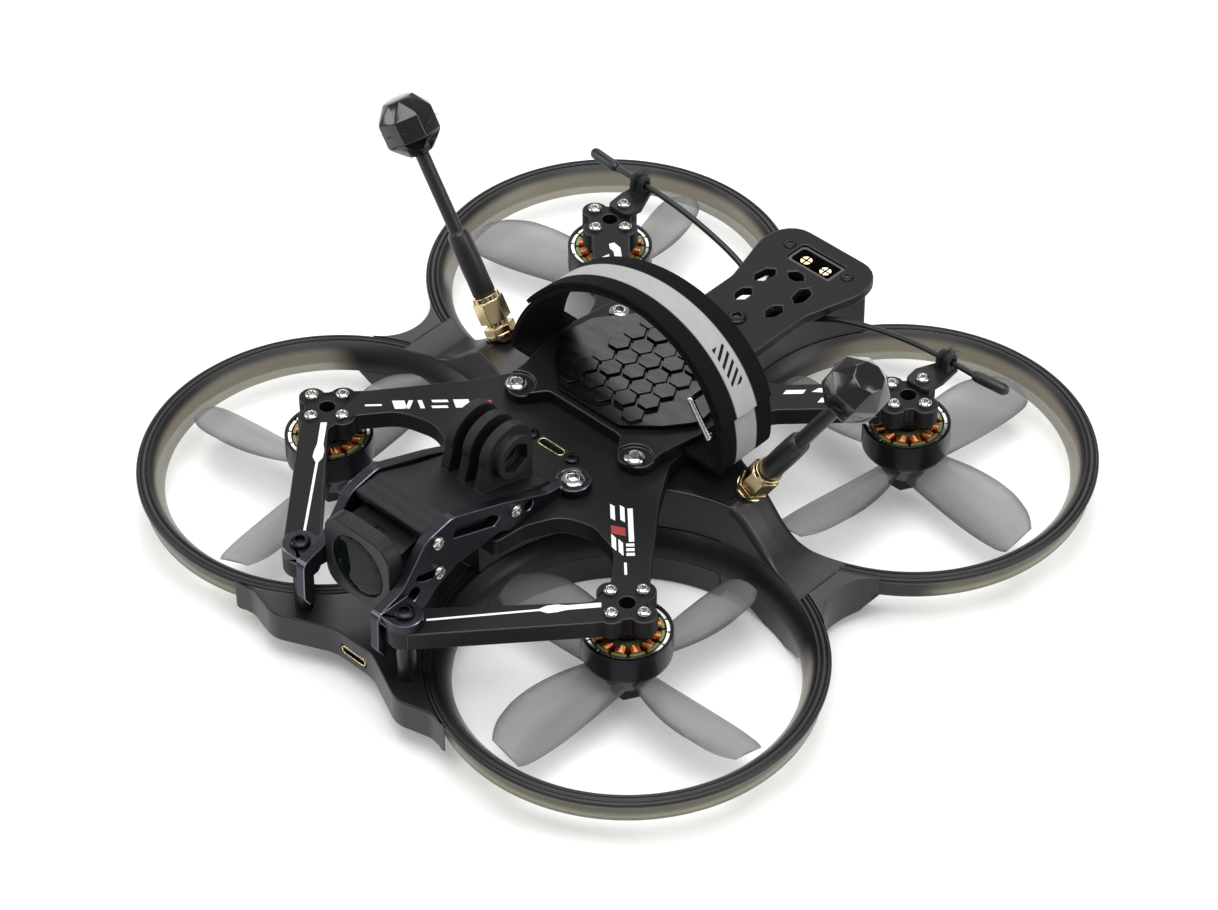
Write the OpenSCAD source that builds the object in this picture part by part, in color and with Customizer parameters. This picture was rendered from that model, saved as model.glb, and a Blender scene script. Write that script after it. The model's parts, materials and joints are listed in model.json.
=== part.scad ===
// Ducted four-motor racing drone. The front faces -Y, +Z is up and +X is the drone's own left.
// The origin is on the ground under the middle of the four motors.

/* [Frame] */
// Distance between diagonally opposite motors
wheelbase = 160; // [158:1:164]
// Height of the arm plates' top face above the ground
arm_top = 36; // [36:0.5:38]
// Thickness of the arm plates
arm_t = 5.5; // [5:0.5:6]
// Wall of the moulded body
wall = 1.6; // [1.2:0.1:2]

/* [Ducts] */
// Radius of the throat that the blades run in
throat_r = 46.4; // [46.2:0.1:46.8]
// Radius of the lip's inner edge
mouth_r = 50.4; // [50:0.1:50.8]
// Outer radius of the lip
lip_r = 54; // [53.6:0.1:54.2]
// Height of the lip above the ground
duct_top = 16.5; // [16:0.5:17]
// Height of a duct ring
duct_h = 7.5; // [7:0.5:8]

/* [Motors and propellers] */
// Outer radius of a motor bell
bell_r = 12.3; // [12:0.1:12.6]
// Radius of the stator
stator_r = 10; // [9.8:0.1:10]
// Diameter of the circle of motor screws
screw_circle = 12; // [12:0.5:13]
// Radius at the blade tips
prop_r = 45; // [44:0.5:45]
// Blades on a propeller
blades = 4; // [3:1:5]

/* [Camera] */
// Width across the lens surround
bezel_w = 24.4; // [24:0.1:24.6]
// Radius of the front glass
glass_r = 9.2; // [8:0.1:9.5]
// Thickness of a cage plate
cage_t = 3; // [2.5:0.5:3]

/* [Strap and battery plate] */
// Width of the strap
strap_w = 20; // [18:1:20]
// Thickness of the strap
strap_t = 1.6; // [1.2:0.1:1.8]
// Height of the strap's loop above the arm plates
strap_h = 39.6; // [30:0.2:44]
// Half the width of the strap's loop
strap_a = 38.8; // [38:0.2:39.4]

/* [Antennas] */
// Outward lean of the main antennas, degrees
lean = 32; // [20:1:40]
// Length from the socket's seat to the middle of the head
stem_len = 66; // [55:1:70]
// Radius of the antenna head
head_r = 8.6; // [7:0.2:9]

/* [Hidden] */

motor_x = wheelbase / 2 / sqrt(2);
arm_bottom = arm_top - arm_t;
duct_bottom = duct_top - duct_h;
FRONT_LEFT = [1, -1];
FRONT_RIGHT = [-1, -1];
REAR_LEFT = [1, 1];
REAR_RIGHT = [-1, 1];
CORNERS = [FRONT_LEFT, FRONT_RIGHT, REAR_LEFT, REAR_RIGHT];
SIDES = [1, -1];
eps = 0.01;
fit = 0.05;

// Corner of an outline replaced by an arc of radius p[i][2].
function unit(v) = v / norm(v);
function corner_arc(a, b, c, r, n) =
    let (u = unit(a - b), w = unit(c - b), half = acos(u * w) / 2)
    let (m = b + unit(u + w) * r / sin(half), t = r / tan(half))
    let (p = b + u * t - m, q = b + w * t - m)
    let (start = atan2(p[1], p[0]), turn = atan2(q[1], q[0]) - start)
    let (span = turn > 180 ? turn - 360 : turn < -180 ? turn + 360 : turn)
    [for (k = [0:n]) m + r * [cos(start + span * k / n), sin(start + span * k / n)]];
function rounded(p, n = 5) = [
    for (i = [0:len(p) - 1])
        let (a = p[(i + len(p) - 1) % len(p)], b = p[i], c = p[(i + 1) % len(p)])
        each b[2] == 0 ? [[b[0], b[1]]]
            : corner_arc([a[0], a[1]], [b[0], b[1]], [c[0], c[1]], b[2], n)
];
function mirrored(p) = concat(p, [for (i = [len(p) - 1:-1:0]) [-p[i][0], p[i][1], p[i][2]]]);

module slab(p, z0, z1) translate([0, 0, z0]) linear_extrude(z1 - z0) polygon(rounded(p));
module disc(r, z0, z1, fn = 48) translate([0, 0, z0]) cylinder(r = r, h = z1 - z0, $fn = fn);
module ring(r0, r1, z0, z1, fn = 64) difference() {
    disc(r1, z0, z1, fn);
    disc(r0, z0 - 1, z1 + 1, fn);
}
module at_motor(corner) translate([corner[0] * motor_x, corner[1] * motor_x, 0]) children();
module at_motors() for (corner = CORNERS) at_motor(corner) children();
module at_screws() for (turn = [0:90:270]) rotate([0, 0, turn])
    translate([screw_circle / 2, 0, 0]) children();
module both_sides() {
    children();
    mirror([1, 0, 0]) children();
}
// Points its children's +Z along +X, and keeps their +Y.
module along_x() rotate([0, 90, 0]) children();

// ---- Ducts -------------------------------------------------------------
flare_steps = 8;
function flare_r(t) = throat_r + (mouth_r - throat_r) * pow(t, 2.2);
skin = 1.2;
duct_profile = concat(
    [for (i = [0:flare_steps]) [flare_r(i / flare_steps), duct_bottom + duct_h * i / flare_steps]],
    [
        [lip_r - 0.5, duct_top], [lip_r, duct_top - 0.5], [lip_r, duct_top - 1.3],
        [lip_r - 1, duct_top - 1.9], [lip_r - 1.5, duct_bottom], [lip_r - 1.5 - skin, duct_bottom],
        [lip_r - 1.2 - skin, duct_top - 2]
    ],
    [for (i = [flare_steps - 2:-1:0])
        [flare_r(i / flare_steps) + skin, duct_bottom + duct_h * i / flare_steps - (i > 0 ? 0.4 : 0)]]
);
module duct(corner) color([0.30, 0.27, 0.24]) at_motor(corner)
    rotate_extrude($fn = 128) polygon(duct_profile);

strip_gap = 0.25;
module led_strips() color([0.85, 0.85, 0.35]) at_motors()
    ring(lip_r - 1.7 - skin - 1.6, lip_r - 1.7 - skin, duct_bottom + 0.4, duct_bottom + 4.4, 128);

// ---- Body --------------------------------------------------------------
body_front = 61;
body_rear = 90;
side_in = 48;
module motor_circles(r) for (corner = CORNERS)
    translate([corner[0] * motor_x, corner[1] * motor_x]) circle(r = r, $fn = 128);
// Part of the middle that the four ducts leave free.
module star(r, front, rear, side) difference() {
    translate([-side, -front]) square([2 * side, front + rear]);
    motor_circles(r);
}
module star_slab(r, front, rear, side, z0, z1) translate([0, 0, z0])
    linear_extrude(z1 - z0) star(r, front, rear, side);

stack_pitch = 30.5;
tub_rear = 60;
module body_tub() color([0.06, 0.06, 0.065]) difference() {
    union() {
        star_slab(throat_r + 0.4, body_front, tub_rear, side_in, 0, duct_bottom);
        star_slab(lip_r, body_front, tub_rear, side_in, duct_bottom, duct_top);
    }
    star_slab(throat_r + 0.4 + wall, body_front - wall, tub_rear - wall, side_in - wall,
        wall, duct_bottom - wall);
    star_slab(lip_r + wall, body_front - wall, tub_rear - wall, side_in - wall,
        duct_bottom - wall - eps, duct_top + 1);
    for (x = SIDES, y = SIDES)
        translate([x * stack_pitch / 2, y * stack_pitch / 2, 0]) disc(1.6, -1, wall + 1, 32);
    for (i = [-2:2]) translate([i * 5 - 1, -8, -1]) cube([2, 16, wall + 2]);
}

tail_front = 37.4;
cover_top = arm_bottom;
tail_half = 16.5;
tail_round = 7;
tail_floor = 1.3;
// Outline of the cover drawn in by inset, with a rounded tail.
module cover_shape(inset) intersection() {
    star(mouth_r + inset, body_front - inset, body_rear - inset, side_in - inset);
    polygon(rounded(mirrored([[side_in, -body_front, 0], [side_in, tub_rear, 0],
        [tail_half - inset, tub_rear, 0], [tail_half - inset, body_rear - inset, tail_round - inset]])));
}
module cover_part(inset, y0, z0, z1) translate([0, 0, z0]) linear_extrude(z1 - z0) intersection() {
    cover_shape(inset);
    translate([-side_in, y0]) square([2 * side_in, body_rear - y0]);
}
module body_cover() color([0.06, 0.06, 0.065]) difference() {
    union() {
        cover_part(0, -body_front, duct_top, cover_top);
        cover_part(0, tail_front, cover_top - eps, rear_z);
    }
    cover_part(wall, -body_front, duct_top + tail_floor, cover_top - wall);
    cover_part(wall, tail_front + wall, duct_top + tail_floor, rear_z + 1);
    star_slab(mouth_r + wall, body_front - wall, tub_rear, side_in - wall, duct_top - 1, duct_top + 2);
    translate([0, lead_path[0][1], lead_path[0][2]]) along_x()
        cylinder(r = lead_r + 0.1, h = 30, center = true, $fn = 24);
    for (side = SIDES) {
        translate([side * socket_x, socket_y, 0]) disc(socket_hole, 10, 40, 32);
        on_socket(side) disc(socket_seat, 0.1, 20, 48);
    }
}

// Saddle between the front and rear ducts of one side, with a skirt that the drone stands on.
crotch_x = 80;
// The crotch is an arc that runs smoothly into both lips.
crotch_r = ((crotch_x - motor_x) * (crotch_x - motor_x) + motor_x * motor_x - lip_r * lip_r)
    / (2 * (lip_r - crotch_x + motor_x));
saddle_end = motor_x + (crotch_x + crotch_r - motor_x) * lip_r / (lip_r + crotch_r);
saddle_top = [
    [side_in, cover_top, 0], [51.5, 27.6, 6], [63.5, 17.6, 12], [74, duct_top, 0], [saddle_end, duct_top, 0]
];
saddle_low = [[saddle_end, 11, 0], [82, 4, 3], [74, 0, 4], [64, 0, 6], [56, 3, 6], [side_in, 4, 0]];
foot_y = 22;
module side_bridge() difference() {
    rotate([90, 0, 0]) linear_extrude(2 * foot_y, center = true)
        polygon(rounded(concat(saddle_top, saddle_low)));
    at_motor(FRONT_LEFT) disc(throat_r + 0.4, -1, duct_bottom, 128);
    at_motor(REAR_LEFT) disc(throat_r + 0.4, -1, duct_bottom, 128);
    at_motor(FRONT_LEFT) disc(lip_r, duct_bottom - eps, duct_top, 128);
    at_motor(REAR_LEFT) disc(lip_r, duct_bottom - eps, duct_top, 128);
    at_motor(FRONT_LEFT) disc(mouth_r, duct_top - eps, 40, 128);
    at_motor(REAR_LEFT) disc(mouth_r, duct_top - eps, 40, 128);
    translate([crotch_x + crotch_r, 0, 0]) disc(crotch_r, -1, 40, 96);
    translate([socket_x, socket_y, 0]) disc(socket_hole, 10, 40, 32);
    on_socket(1) disc(socket_seat, 0.1, 20, 48);
    translate([side_in - 1, -2.2, 12]) cube([5, 4.4, 12]);
}
module side_bridges() color([0.07, 0.07, 0.075]) both_sides() side_bridge();

bumper_z = duct_bottom - 2;
port_z = 11;
bumper_outline = mirrored([
    [7, -102.4, 12], [23.5, -110, 8], [34, -107.2, 6], [41, -108.4, 3], [44, -104, 0],
    [20, -76, 0], [4.5, -body_front, 0]
]);
bumper_pocket = mirrored([
    [7, -102.4 + wall, 12], [23.5, -110 + wall, 8], [34, -107.2 + wall, 5], [40.4, -106.6, 2],
    [42.2, -103.6, 0], [20, -76, 0], [4, -body_front - wall, 0]
]);
module bumper_block(p, r, z0, z1) difference() {
    slab(p, z0, z1);
    for (corner = [FRONT_LEFT, FRONT_RIGHT]) at_motor(corner) disc(r, z0 - 1, z1 + 1, 128);
}
module front_bumper() color([0.06, 0.06, 0.065]) difference() {
    bumper_block(bumper_outline, lip_r, bumper_z, duct_top);
    bumper_block(bumper_pocket, lip_r + wall, bumper_z - 1, duct_top - wall);
    translate([-4.6, -110, port_z - 1.4]) cube([9.2, 14, 2.8]);
}

// ---- Arm plates --------------------------------------------------------
bracket = [19.6, -101.4];
pad_r = 3.7;
module motor_pad() {
    rotate(45) square(12, center = true);
    at_screws() circle(r = pad_r, $fn = 32);
}
module pad_holes() {
    circle(r = 2.2, $fn = 32);
    at_screws() circle(r = 1.1, $fn = 24);
}
front_arm = [
    [0, 0, 0], [27, 0, 0], [28.5, -10, 4], [36, -22, 10], [53.5, -44.5, 8], [60.5, -51.5, 2],
    [62.5, -59, 3], [55.5, -68.2, 3], [bracket[0] + 3.8, bracket[1] - 3.3, 0],
    [bracket[0] - 3.8, bracket[1] + 3.3, 0], [50, -62.5, 4], [48.2, -54, 8], [40.5, -44.3, 12],
    [30, -41.6, 9], [21.5, -44.4, 9], [16.6, -54, 12], [15.6, -64, 2], [0, -64, 0]
];
module front_arm_plate() color([0.045, 0.045, 0.05]) translate([0, 0, arm_bottom])
    linear_extrude(arm_t) difference() {
        both_sides() union() {
            polygon(rounded(front_arm));
            translate(bracket) circle(r = 5, $fn = 48);
            translate([motor_x, -motor_x]) motor_pad();
        }
        both_sides() {
            translate([motor_x, -motor_x]) pad_holes();
            translate(bracket) circle(r = 1.6, $fn = 24);
            translate([7.5, -26.3]) circle(r = 1.3, $fn = 24);
            translate([22.2, -17.1]) circle(r = 1.6, $fn = 24);
            translate([lug_x, -34]) circle(r = 1.6, $fn = 24);
        }
        translate([-4.6, -27.7]) square([9.2, 2.8]);
    }
rear_arm = [
    [0, 0, 0], [27, 0, 0], [28.2, 14, 6], [34, 26.5, 10], [60, 52.5, 1],
    [61, 61, 1], [52.5, 60, 1], [29.5, 37, 4], [22, 31.5, 5],
    [14.6, 37, 0], [0, 37, 0]
];
module rear_arm_plate() color([0.045, 0.045, 0.05]) translate([0, 0, arm_bottom])
    linear_extrude(arm_t) difference() {
        both_sides() union() {
            polygon(rounded(rear_arm));
            translate([motor_x, motor_x]) motor_pad();
        }
        both_sides() {
            translate([motor_x, motor_x]) pad_holes();
            translate([22.2, 24]) circle(r = 1.6, $fn = 24);
        }
    }

// ---- Battery plate, pad and strap --------------------------------------
plate_t = 4;
plate_outline = mirrored([
    [13.5, -13.3, 3], [19, -21, 4], [26.8, -19, 4.5], [26.5, -10, 4], [29, 2, 4], [29, 14, 4],
    [27, 28, 4], [14, 36, 4]
]);
channel_h = 2.2;
strap_y0 = -4;
module battery_plate() color([0.05, 0.05, 0.055]) difference() {
    slab(plate_outline, arm_top, arm_top + plate_t);
    translate([-40, strap_y0 - 0.4, arm_top - 1]) cube([80, strap_w + 0.8, 1 + channel_h]);
    both_sides() {
        translate([22.2, -17.1, 0]) disc(5.2, arm_top + 3, arm_top + 9, 32);
        translate([22.2, -17.1, 0]) disc(1.6, arm_top - 1, arm_top + 9, 24);
        translate([22.2, 24, 0]) disc(1.6, arm_top - 1, arm_top + 9, 24);
    }
}
pad_outline = mirrored([[11.5, -11.8, 4], [20.5, -4, 5], [26.6, 4, 6], [25, 16, 6], [12, 33, 6]]);
hex_pitch = 6.4;
module battery_pad() color([0.03, 0.03, 0.03]) {
    difference() {
        slab(pad_outline, arm_top + plate_t, arm_top + plate_t + 1.6);
        both_sides() translate([22.2, 24, 0]) disc(3.2, arm_top, arm_top + 9, 32);
    }
    for (i = [-2:2], j = [-1:4]) {
        x = i * hex_pitch * 0.9;
        y = (j + (i % 2 == 0 ? 0 : 0.5)) * hex_pitch;
        translate([x, y, arm_top + plate_t + 1.6])
            cylinder(r = hex_pitch * 0.52, h = 0.7 + 0.25 * ((i + 2 * j + 12) % 3), $fn = 6);
    }
}

// Middle line of the loop, a half ellipse that leans to the left, closed by a flat run below.
arch_steps = 28;
strap_mid_x = 2;
strap_lean = 6;
strap_z = arm_top + 0.3 + strap_t / 2;
strap_rise = arm_top + strap_h - strap_t / 2 - strap_z;
function arch(grow) = [
    for (k = [0:arch_steps]) let (t = 180 * k / arch_steps)
        let (along = unit([-strap_a * sin(t) + strap_lean * cos(t), strap_rise * cos(t)]))
        [strap_mid_x + strap_a * cos(t) + strap_lean * sin(t), strap_z + strap_rise * sin(t)]
            + grow * (k == 0 ? [1, -1] : k == arch_steps ? [-1, -1] : [along[1], -along[0]])
];
module battery_strap() color([0.07, 0.07, 0.07])
    translate([0, strap_y0 + strap_w, 0]) rotate([90, 0, 0]) linear_extrude(strap_w) difference() {
        union() {
            polygon(arch(strap_t / 2));
            translate(buckle_bars[0]) circle(r = sleeve_out, $fn = 32);
        }
        difference() {
            polygon(arch(-strap_t / 2));
            translate(buckle_bars[0]) circle(r = sleeve_out, $fn = 32);
        }
        translate(buckle_bars[0]) circle(r = buckle_r + fit, $fn = 32);
    }
// The buckle's two bars in the (x, z) plane. The strap is sewn around the first.
buckle_bars = [[38.5, 49.35], [31.95, 59.05]];
buckle_r = 0.9;
sleeve_out = 2.2;
module strap_buckle() color([0.75, 0.75, 0.77]) {
    ends = [strap_y0 - 1.7, strap_y0 + strap_w + 1.7];
    for (bar = buckle_bars) rod([bar[0], ends[0], bar[1]], [bar[0], ends[1], bar[1]], buckle_r);
    for (y = ends) {
        rod([buckle_bars[0][0], y, buckle_bars[0][1]], [buckle_bars[1][0], y, buckle_bars[1][1]], buckle_r);
        for (bar = buckle_bars) translate([bar[0], y, bar[1]]) sphere(r = buckle_r, $fn = 24);
    }
}

// ---- Rear plate and power socket ---------------------------------------
rear_t = 3;
rear_z = arm_top - rear_t;
rear_outline = mirrored([
    [13.6, 37.2, 0], [13.6, 62, 10], [18.8, 80, 12], [17, 91.8, 8]
]);
pin_gap = 7.2;
socket_y0 = 82.6;
slot_half = 1.9;
module hex_slot(x, y, len, turn) translate([x, y, 0]) rotate([0, 0, turn])
    slab([[-len / 2, 0, 0], [-len / 2 + slot_half, slot_half, 0], [len / 2 - slot_half, slot_half, 0],
        [len / 2, 0, 0], [len / 2 - slot_half, -slot_half, 0], [-len / 2 + slot_half, -slot_half, 0]],
        rear_z - 1, arm_top + 1);
socket_outline = [
    [-8.1, -4.1, 1.5], [8.1, -4.1, 0.6], [8.1, 4.1, 0.6], [-8.1, 4.1, 1.5]
];
module rear_plate() color([0.05, 0.05, 0.055]) difference() {
    slab(rear_outline, rear_z, arm_top);
    translate([0, socket_y0, 0]) slab(socket_outline, rear_z - 1, arm_top + 1);
    both_sides() {
        translate([10.9, socket_y0 + 1, 0]) disc(1.1, rear_z - 1, arm_top + 1, 24);
        hex_slot(5.8, 58, 7, 90);
        hex_slot(7, 68.5, 8, 100);
    }
    translate([0, 48.7, 0]) disc(1.6, rear_z - 1, arm_top + 1, 24);
    hex_slot(0, 74, 6, 0);
}
socket_depth = 15;
module power_socket() color([0.05, 0.05, 0.05]) translate([0, socket_y0, 0]) difference() {
    slab([for (p = socket_outline) [p[0] * 0.99, p[1] * 0.985, p[2]]],
        arm_top - socket_depth, arm_top - 0.6);
    slab([[-7, -3, 1], [7, -3, 0.4], [7, 3, 0.4], [-7, 3, 1]], arm_top - 8, arm_top);
    for (x = SIDES) translate([x * pin_gap / 2, 0, 0]) disc(1.75, 0, arm_top, 32);
}
module power_pins() color([0.83, 0.66, 0.28]) for (x = SIDES)
    translate([x * pin_gap / 2, socket_y0, 0]) difference() {
        disc(1.75, arm_top - socket_depth - 3, arm_top - 1.4, 32);
        for (turn = [0, 90]) rotate([0, 0, turn])
            translate([-2, -0.25, arm_top - 7]) cube([4, 0.5, 8]);
    }

// ---- Camera cage -------------------------------------------------------
cage_in = 12.5;
lug_x = 15.5;
pivot = [-85, arm_top + 14.4];
pin_drop = 10.4;
tilt_range = 35;
cage_side = [
    [-36, arm_top, 0], [-36, arm_top + 3, 1], [-44, arm_top + 4.2, 8], [-60, arm_top + 11.6, 20],
    [-79, arm_top + 19, 6], [-88.6, arm_top + 17, 6], [-98, arm_top + 5.6, 8],
    [-107, arm_top + 3, 3], [-107.4, arm_top - 9, 1.5], [-105.4, arm_top - 12.5, 1],
    [-103.4, arm_top - 12.5, 1], [-103.4, arm_top - 1, 2], [-97, arm_top - 1.5, 2],
    [-90.5, arm_top - 6, 3], [-86, arm_top - 1.6, 5], [-78, arm_top + 1.6, 6],
    [-62, arm_top + 2.4, 6], [-57, arm_top, 2]
];
// Shapes drawn in the (y, z) plane and given a thickness along X.
module side_slab(p, x0, x1) translate([x0, 0, 0]) rotate([90, 0, 90])
    linear_extrude(x1 - x0) polygon(rounded(p));
module side_hole(y, z, r) translate([cage_in - 1, y, z]) along_x()
    cylinder(r = r, h = cage_t + 2, $fn = 32);
module cage_plate() difference() {
    union() {
        side_slab(cage_side, cage_in, cage_in + cage_t);
        translate([lug_x, -34, 0]) disc(5, arm_top, arm_top + 3, 48);
        translate([bracket[0], bracket[1], 0]) disc(5, arm_top, arm_top + 3, 48);
        translate([cage_in, bracket[1] - 5, arm_top]) cube([bracket[0] - cage_in, 10, 3]);
    }
    translate([lug_x, -34, 0]) disc(1.6, arm_top - 2, arm_top + 12, 24);
    translate([lug_x, -34, 0]) disc(4, arm_top + 2.4, arm_top + 12, 48);
    translate([bracket[0], bracket[1], 0]) disc(1.6, arm_top - 2, arm_top + 12, 24);
    translate([bracket[0], bracket[1], 0]) disc(5.3, arm_bottom - 8, arm_top, 48);
    side_hole(pivot[0], pivot[1], 1.1);
    side_hole(-56.2, arm_top + 6.5, 1.1);
    side_hole(-51, arm_top + 4.6, 1.6);
    side_slab([[-79, arm_top + 11.6, 0.6], [-64, arm_top + 6, 0.6], [-61.6, arm_top + 7.6, 0.6],
        [-63.6, arm_top + 9.6, 0.6], [-78, arm_top + 15, 0.6]], cage_in - 1, cage_in + cage_t + 1);
    translate([cage_in - 1, pivot[0], pivot[1]]) along_x() tilt_slot();
    translate([cage_in - 1, -94, arm_top + 1.8]) along_x() cylinder(r = 2.2, h = cage_t + 2, $fn = 32);
}
// Arc slot about the pivot; under along_x a point at (a, b) stands at height -a and depth b.
slot_from = -4;
module tilt_slot() for (turn = [slot_from:3:tilt_range + 4])
    rotate([0, 0, -turn]) translate([pin_drop, 0, 0]) cylinder(r = 1.3, h = cage_t + 2, $fn = 32);
module cage_plates() color([0.14, 0.14, 0.16]) both_sides() cage_plate();

module front_posts() color([0.05, 0.05, 0.055]) both_sides()
    translate([bracket[0], bracket[1], 0]) difference() {
        disc(2.6, duct_top, arm_bottom, 32);
        disc(1.5, arm_bottom - 9, arm_bottom + 1, 24);
    }

// ---- Camera ------------------------------------------------------------
lens_z = arm_top + 5.5;
bezel_front = -99.3;
bezel_t = 5;
body_half = 10.5;
boss_r = 1.8;
body_top = lens_z + 7;
body_low = lens_z - 11.5;
module camera_body() color([0.05, 0.05, 0.055]) difference() {
    union() {
        side_slab([[bezel_front + bezel_t, body_low, 1], [-75, body_low, 2], [-75, lens_z + 4, 3],
            [-80, body_top, 2], [bezel_front + bezel_t, body_top, 1]], -body_half, body_half);
        for (side = SIDES, drop = [0, pin_drop]) translate([side * 10.4, pivot[0], pivot[1] - drop])
            along_x() cylinder(r = boss_r, h = 3.8, center = true, $fn = 32);
        for (side = SIDES) translate([side * 9.5 - 1, pivot[0] - boss_r, body_top - 1])
            cube([2, 2 * boss_r, pivot[1] - body_top + 1]);
    }
    for (drop = [0, pin_drop]) translate([0, pivot[0], pivot[1] - drop]) along_x()
        cylinder(r = 1, h = 40, center = true, $fn = 24);
    translate([0, -60, lens_z]) rotate([90, 0, 0]) disc(6.6, 29, 50, 48);
}
bz = bezel_w / 2;
bezel_round = 6;
module camera_bezel() color([0.09, 0.09, 0.1]) translate([0, bezel_front + bezel_t, lens_z])
    rotate([90, 0, 0]) difference() {
        slab([[-bz, -bz, bezel_round], [bz, -bz, bezel_round], [bz, bz, bezel_round],
            [-bz, bz, bezel_round]], 0, bezel_t);
        disc(glass_r + fit, bezel_t - 1.4, bezel_t + 1, 96);
        disc(7.4, -1, bezel_t + 1, 64);
    }
module camera_glass() color([0.05, 0.12, 0.1]) translate([0, bezel_front + 0.3, lens_z])
    rotate([90, 0, 0]) {
        disc(glass_r, -1.1, 0.2, 96);
        disc(6.4, -9.5, -1.1, 64);
    }
module camera_screws() color([0.7, 0.7, 0.72]) for (side = SIDES, drop = [0, pin_drop])
    translate([side * (cage_in + cage_t + 0.1), pivot[0], pivot[1] - drop])
        rotate([0, side * 90, 0]) socket_screw(1, 2, 1.4, 5.5);

// Screw whose head stands up from z = 0, with a hexagon socket.
module socket_screw(r, head, head_h, len) difference() {
    union() {
        disc(r - 0.02, -len, eps, 24);
        disc(head, 0, head_h * 0.45, 32);
        translate([0, 0, head_h * 0.45]) rotate_extrude($fn = 32) polygon(concat([[0, 0]],
            [for (k = [0:4]) [head * cos(k * 18), head_h * 0.55 * sin(k * 18)]]));
    }
    translate([0, 0, head_h * 0.35]) cylinder(r = head * 0.5, h = head_h, $fn = 6);
}

finger = [-50, arm_top + 17.6];
finger_r = 8.8;
finger_t = 3;
finger_pitch = 6.2;
cover_half = cage_in - 0.2;
module camera_cover() color([0.12, 0.12, 0.13]) difference() {
    union() {
        side_slab([[-39.5, arm_top + 0.4, 1], [-39, arm_top + 4, 2], [-58, arm_top + 9.6, 5],
            [-66, arm_top + 12.4, 5], [-79, arm_top + 17.8, 4], [-87.4, arm_top + 17.1, 0.6],
            [-87.2, arm_top + 14.9, 0.4], [-79, arm_top + 14.6, 0], [-73, arm_top + 8, 4],
            [-60, arm_top + 0.6, 1]], -cover_half, cover_half);
        for (i = [-1:1]) {
            translate([i * finger_pitch, finger[0], finger[1]]) along_x()
                cylinder(r = finger_r, h = finger_t, center = true, $fn = 64);
            side_slab([[finger[0] + 8.6, arm_top + 3, 0], [finger[0] + 8.7, finger[1], 0],
                [finger[0] - 8.7, finger[1], 0], [finger[0] - 11.5, arm_top + 9, 0]],
                i * finger_pitch - finger_t / 2, i * finger_pitch + finger_t / 2);
        }
        translate([finger_pitch + finger_t / 2 - eps, finger[0], finger[1]]) along_x()
            cylinder(r = 6.6, h = 2.6, $fn = 48);
    }
    translate([0, finger[0], finger[1]]) along_x() cylinder(r = 2.5, h = 60, center = true, $fn = 48);
    translate([finger_pitch + finger_t / 2 - 0.4, finger[0], finger[1]]) along_x()
        cylinder(r = 4.7, h = 5, $fn = 6);
    side_slab([[-43, arm_top - 1, 0], [-43, arm_top + 3, 1], [-62, arm_top + 8.6, 1],
        [-66, arm_top + 10, 2], [-76, arm_top + 14, 1], [-60, arm_top - 1, 0]],
        -cover_half + 2, cover_half - 2);
    for (side = SIDES) {
        translate([side * cage_in, -56.2, arm_top + 6.5]) along_x()
            cylinder(r = 1, h = 8, center = true, $fn = 24);
        translate([side * 10.4, pivot[0], pivot[1]]) along_x()
            cylinder(r = boss_r + 0.4, h = 4.6, center = true, $fn = 32);
        translate([side * 9.5 - 1.4, pivot[0] - boss_r - 0.4, pivot[1] - 4])
            cube([2.8, 2 * boss_r + 0.8, 4]);
    }
}

// ---- Screws ------------------------------------------------------------
module motor_screws() color([0.72, 0.72, 0.74]) for (corner = CORNERS, turn = [0:90:270]) {
    lift = corner[1] > 0 && turn == 90 ? clamp_t : 0;
    at_motor(corner) rotate([0, 0, turn]) translate([screw_circle / 2, 0, arm_top + lift])
        socket_screw(1, 1.9, 1.5, arm_t + 1.8);
}
module steel_screws() color([0.72, 0.72, 0.74]) both_sides() {
    translate([22.2, -17.1, arm_top + 3]) socket_screw(1.5, 3, 1.9, 8);
    translate([22.2, 24, arm_top + plate_t]) socket_screw(1.5, 2.8, 1.6, 9);
    translate([lug_x, -34, arm_top + 2.4]) socket_screw(1.5, 3.2, 1.2, 7.6);
    translate([cage_in + cage_t, -56.2, arm_top + 6.5]) along_x() socket_screw(1, 1.9, 1.4, 6.5);
}
module black_screws() color([0.04, 0.04, 0.045]) {
    both_sides() {
        translate([bracket[0], bracket[1], arm_top + 3]) socket_screw(1.5, 2.8, 1.6, 11);
        translate([7.5, -26.3, arm_top]) socket_screw(1.2, 2, 1.1, 5);
        translate([10.9, socket_y0 + 1, arm_top]) socket_screw(1, 1.9, 0.5, 4);
    }
    translate([0, 48.7, arm_top]) socket_screw(1.5, 2.8, 0.9, 6);
}

// ---- Motors ------------------------------------------------------------
stator_low = 20;
stator_high = 26;
tube_r = 4.3;
bearing_r = 3.5;
shaft_r = 1.5;
module motor_bases() color([0.1, 0.1, 0.11]) at_motors() difference() {
    union() {
        disc(6.2, arm_bottom - 1.8, arm_bottom, 48);
        at_screws() disc(2.7, arm_bottom - 1.8, arm_bottom, 32);
        disc(tube_r, stator_low - 1, arm_bottom, 48);
    }
    disc(bearing_r, stator_low - 2, stator_low + 2, 48);
    disc(bearing_r, stator_high, arm_bottom + 1, 48);
    disc(2.2, stator_low, arm_bottom + 1, 32);
    at_screws() disc(1, arm_bottom - 3, arm_bottom + 1, 24);
}
module motor_bearings() color([0.8, 0.8, 0.82]) at_motors() for (z = [stator_low - 1, stator_high]) 
    ring(shaft_r + fit, bearing_r, z, z + 2.5, 48);
teeth = 12;
core_r = 6.1;
tooth_half = 0.7;
shoe_angle = 12.2;
shoe_in = stator_r - 0.8;
function polar(r, turn) = r * [cos(turn), sin(turn)];
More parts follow.
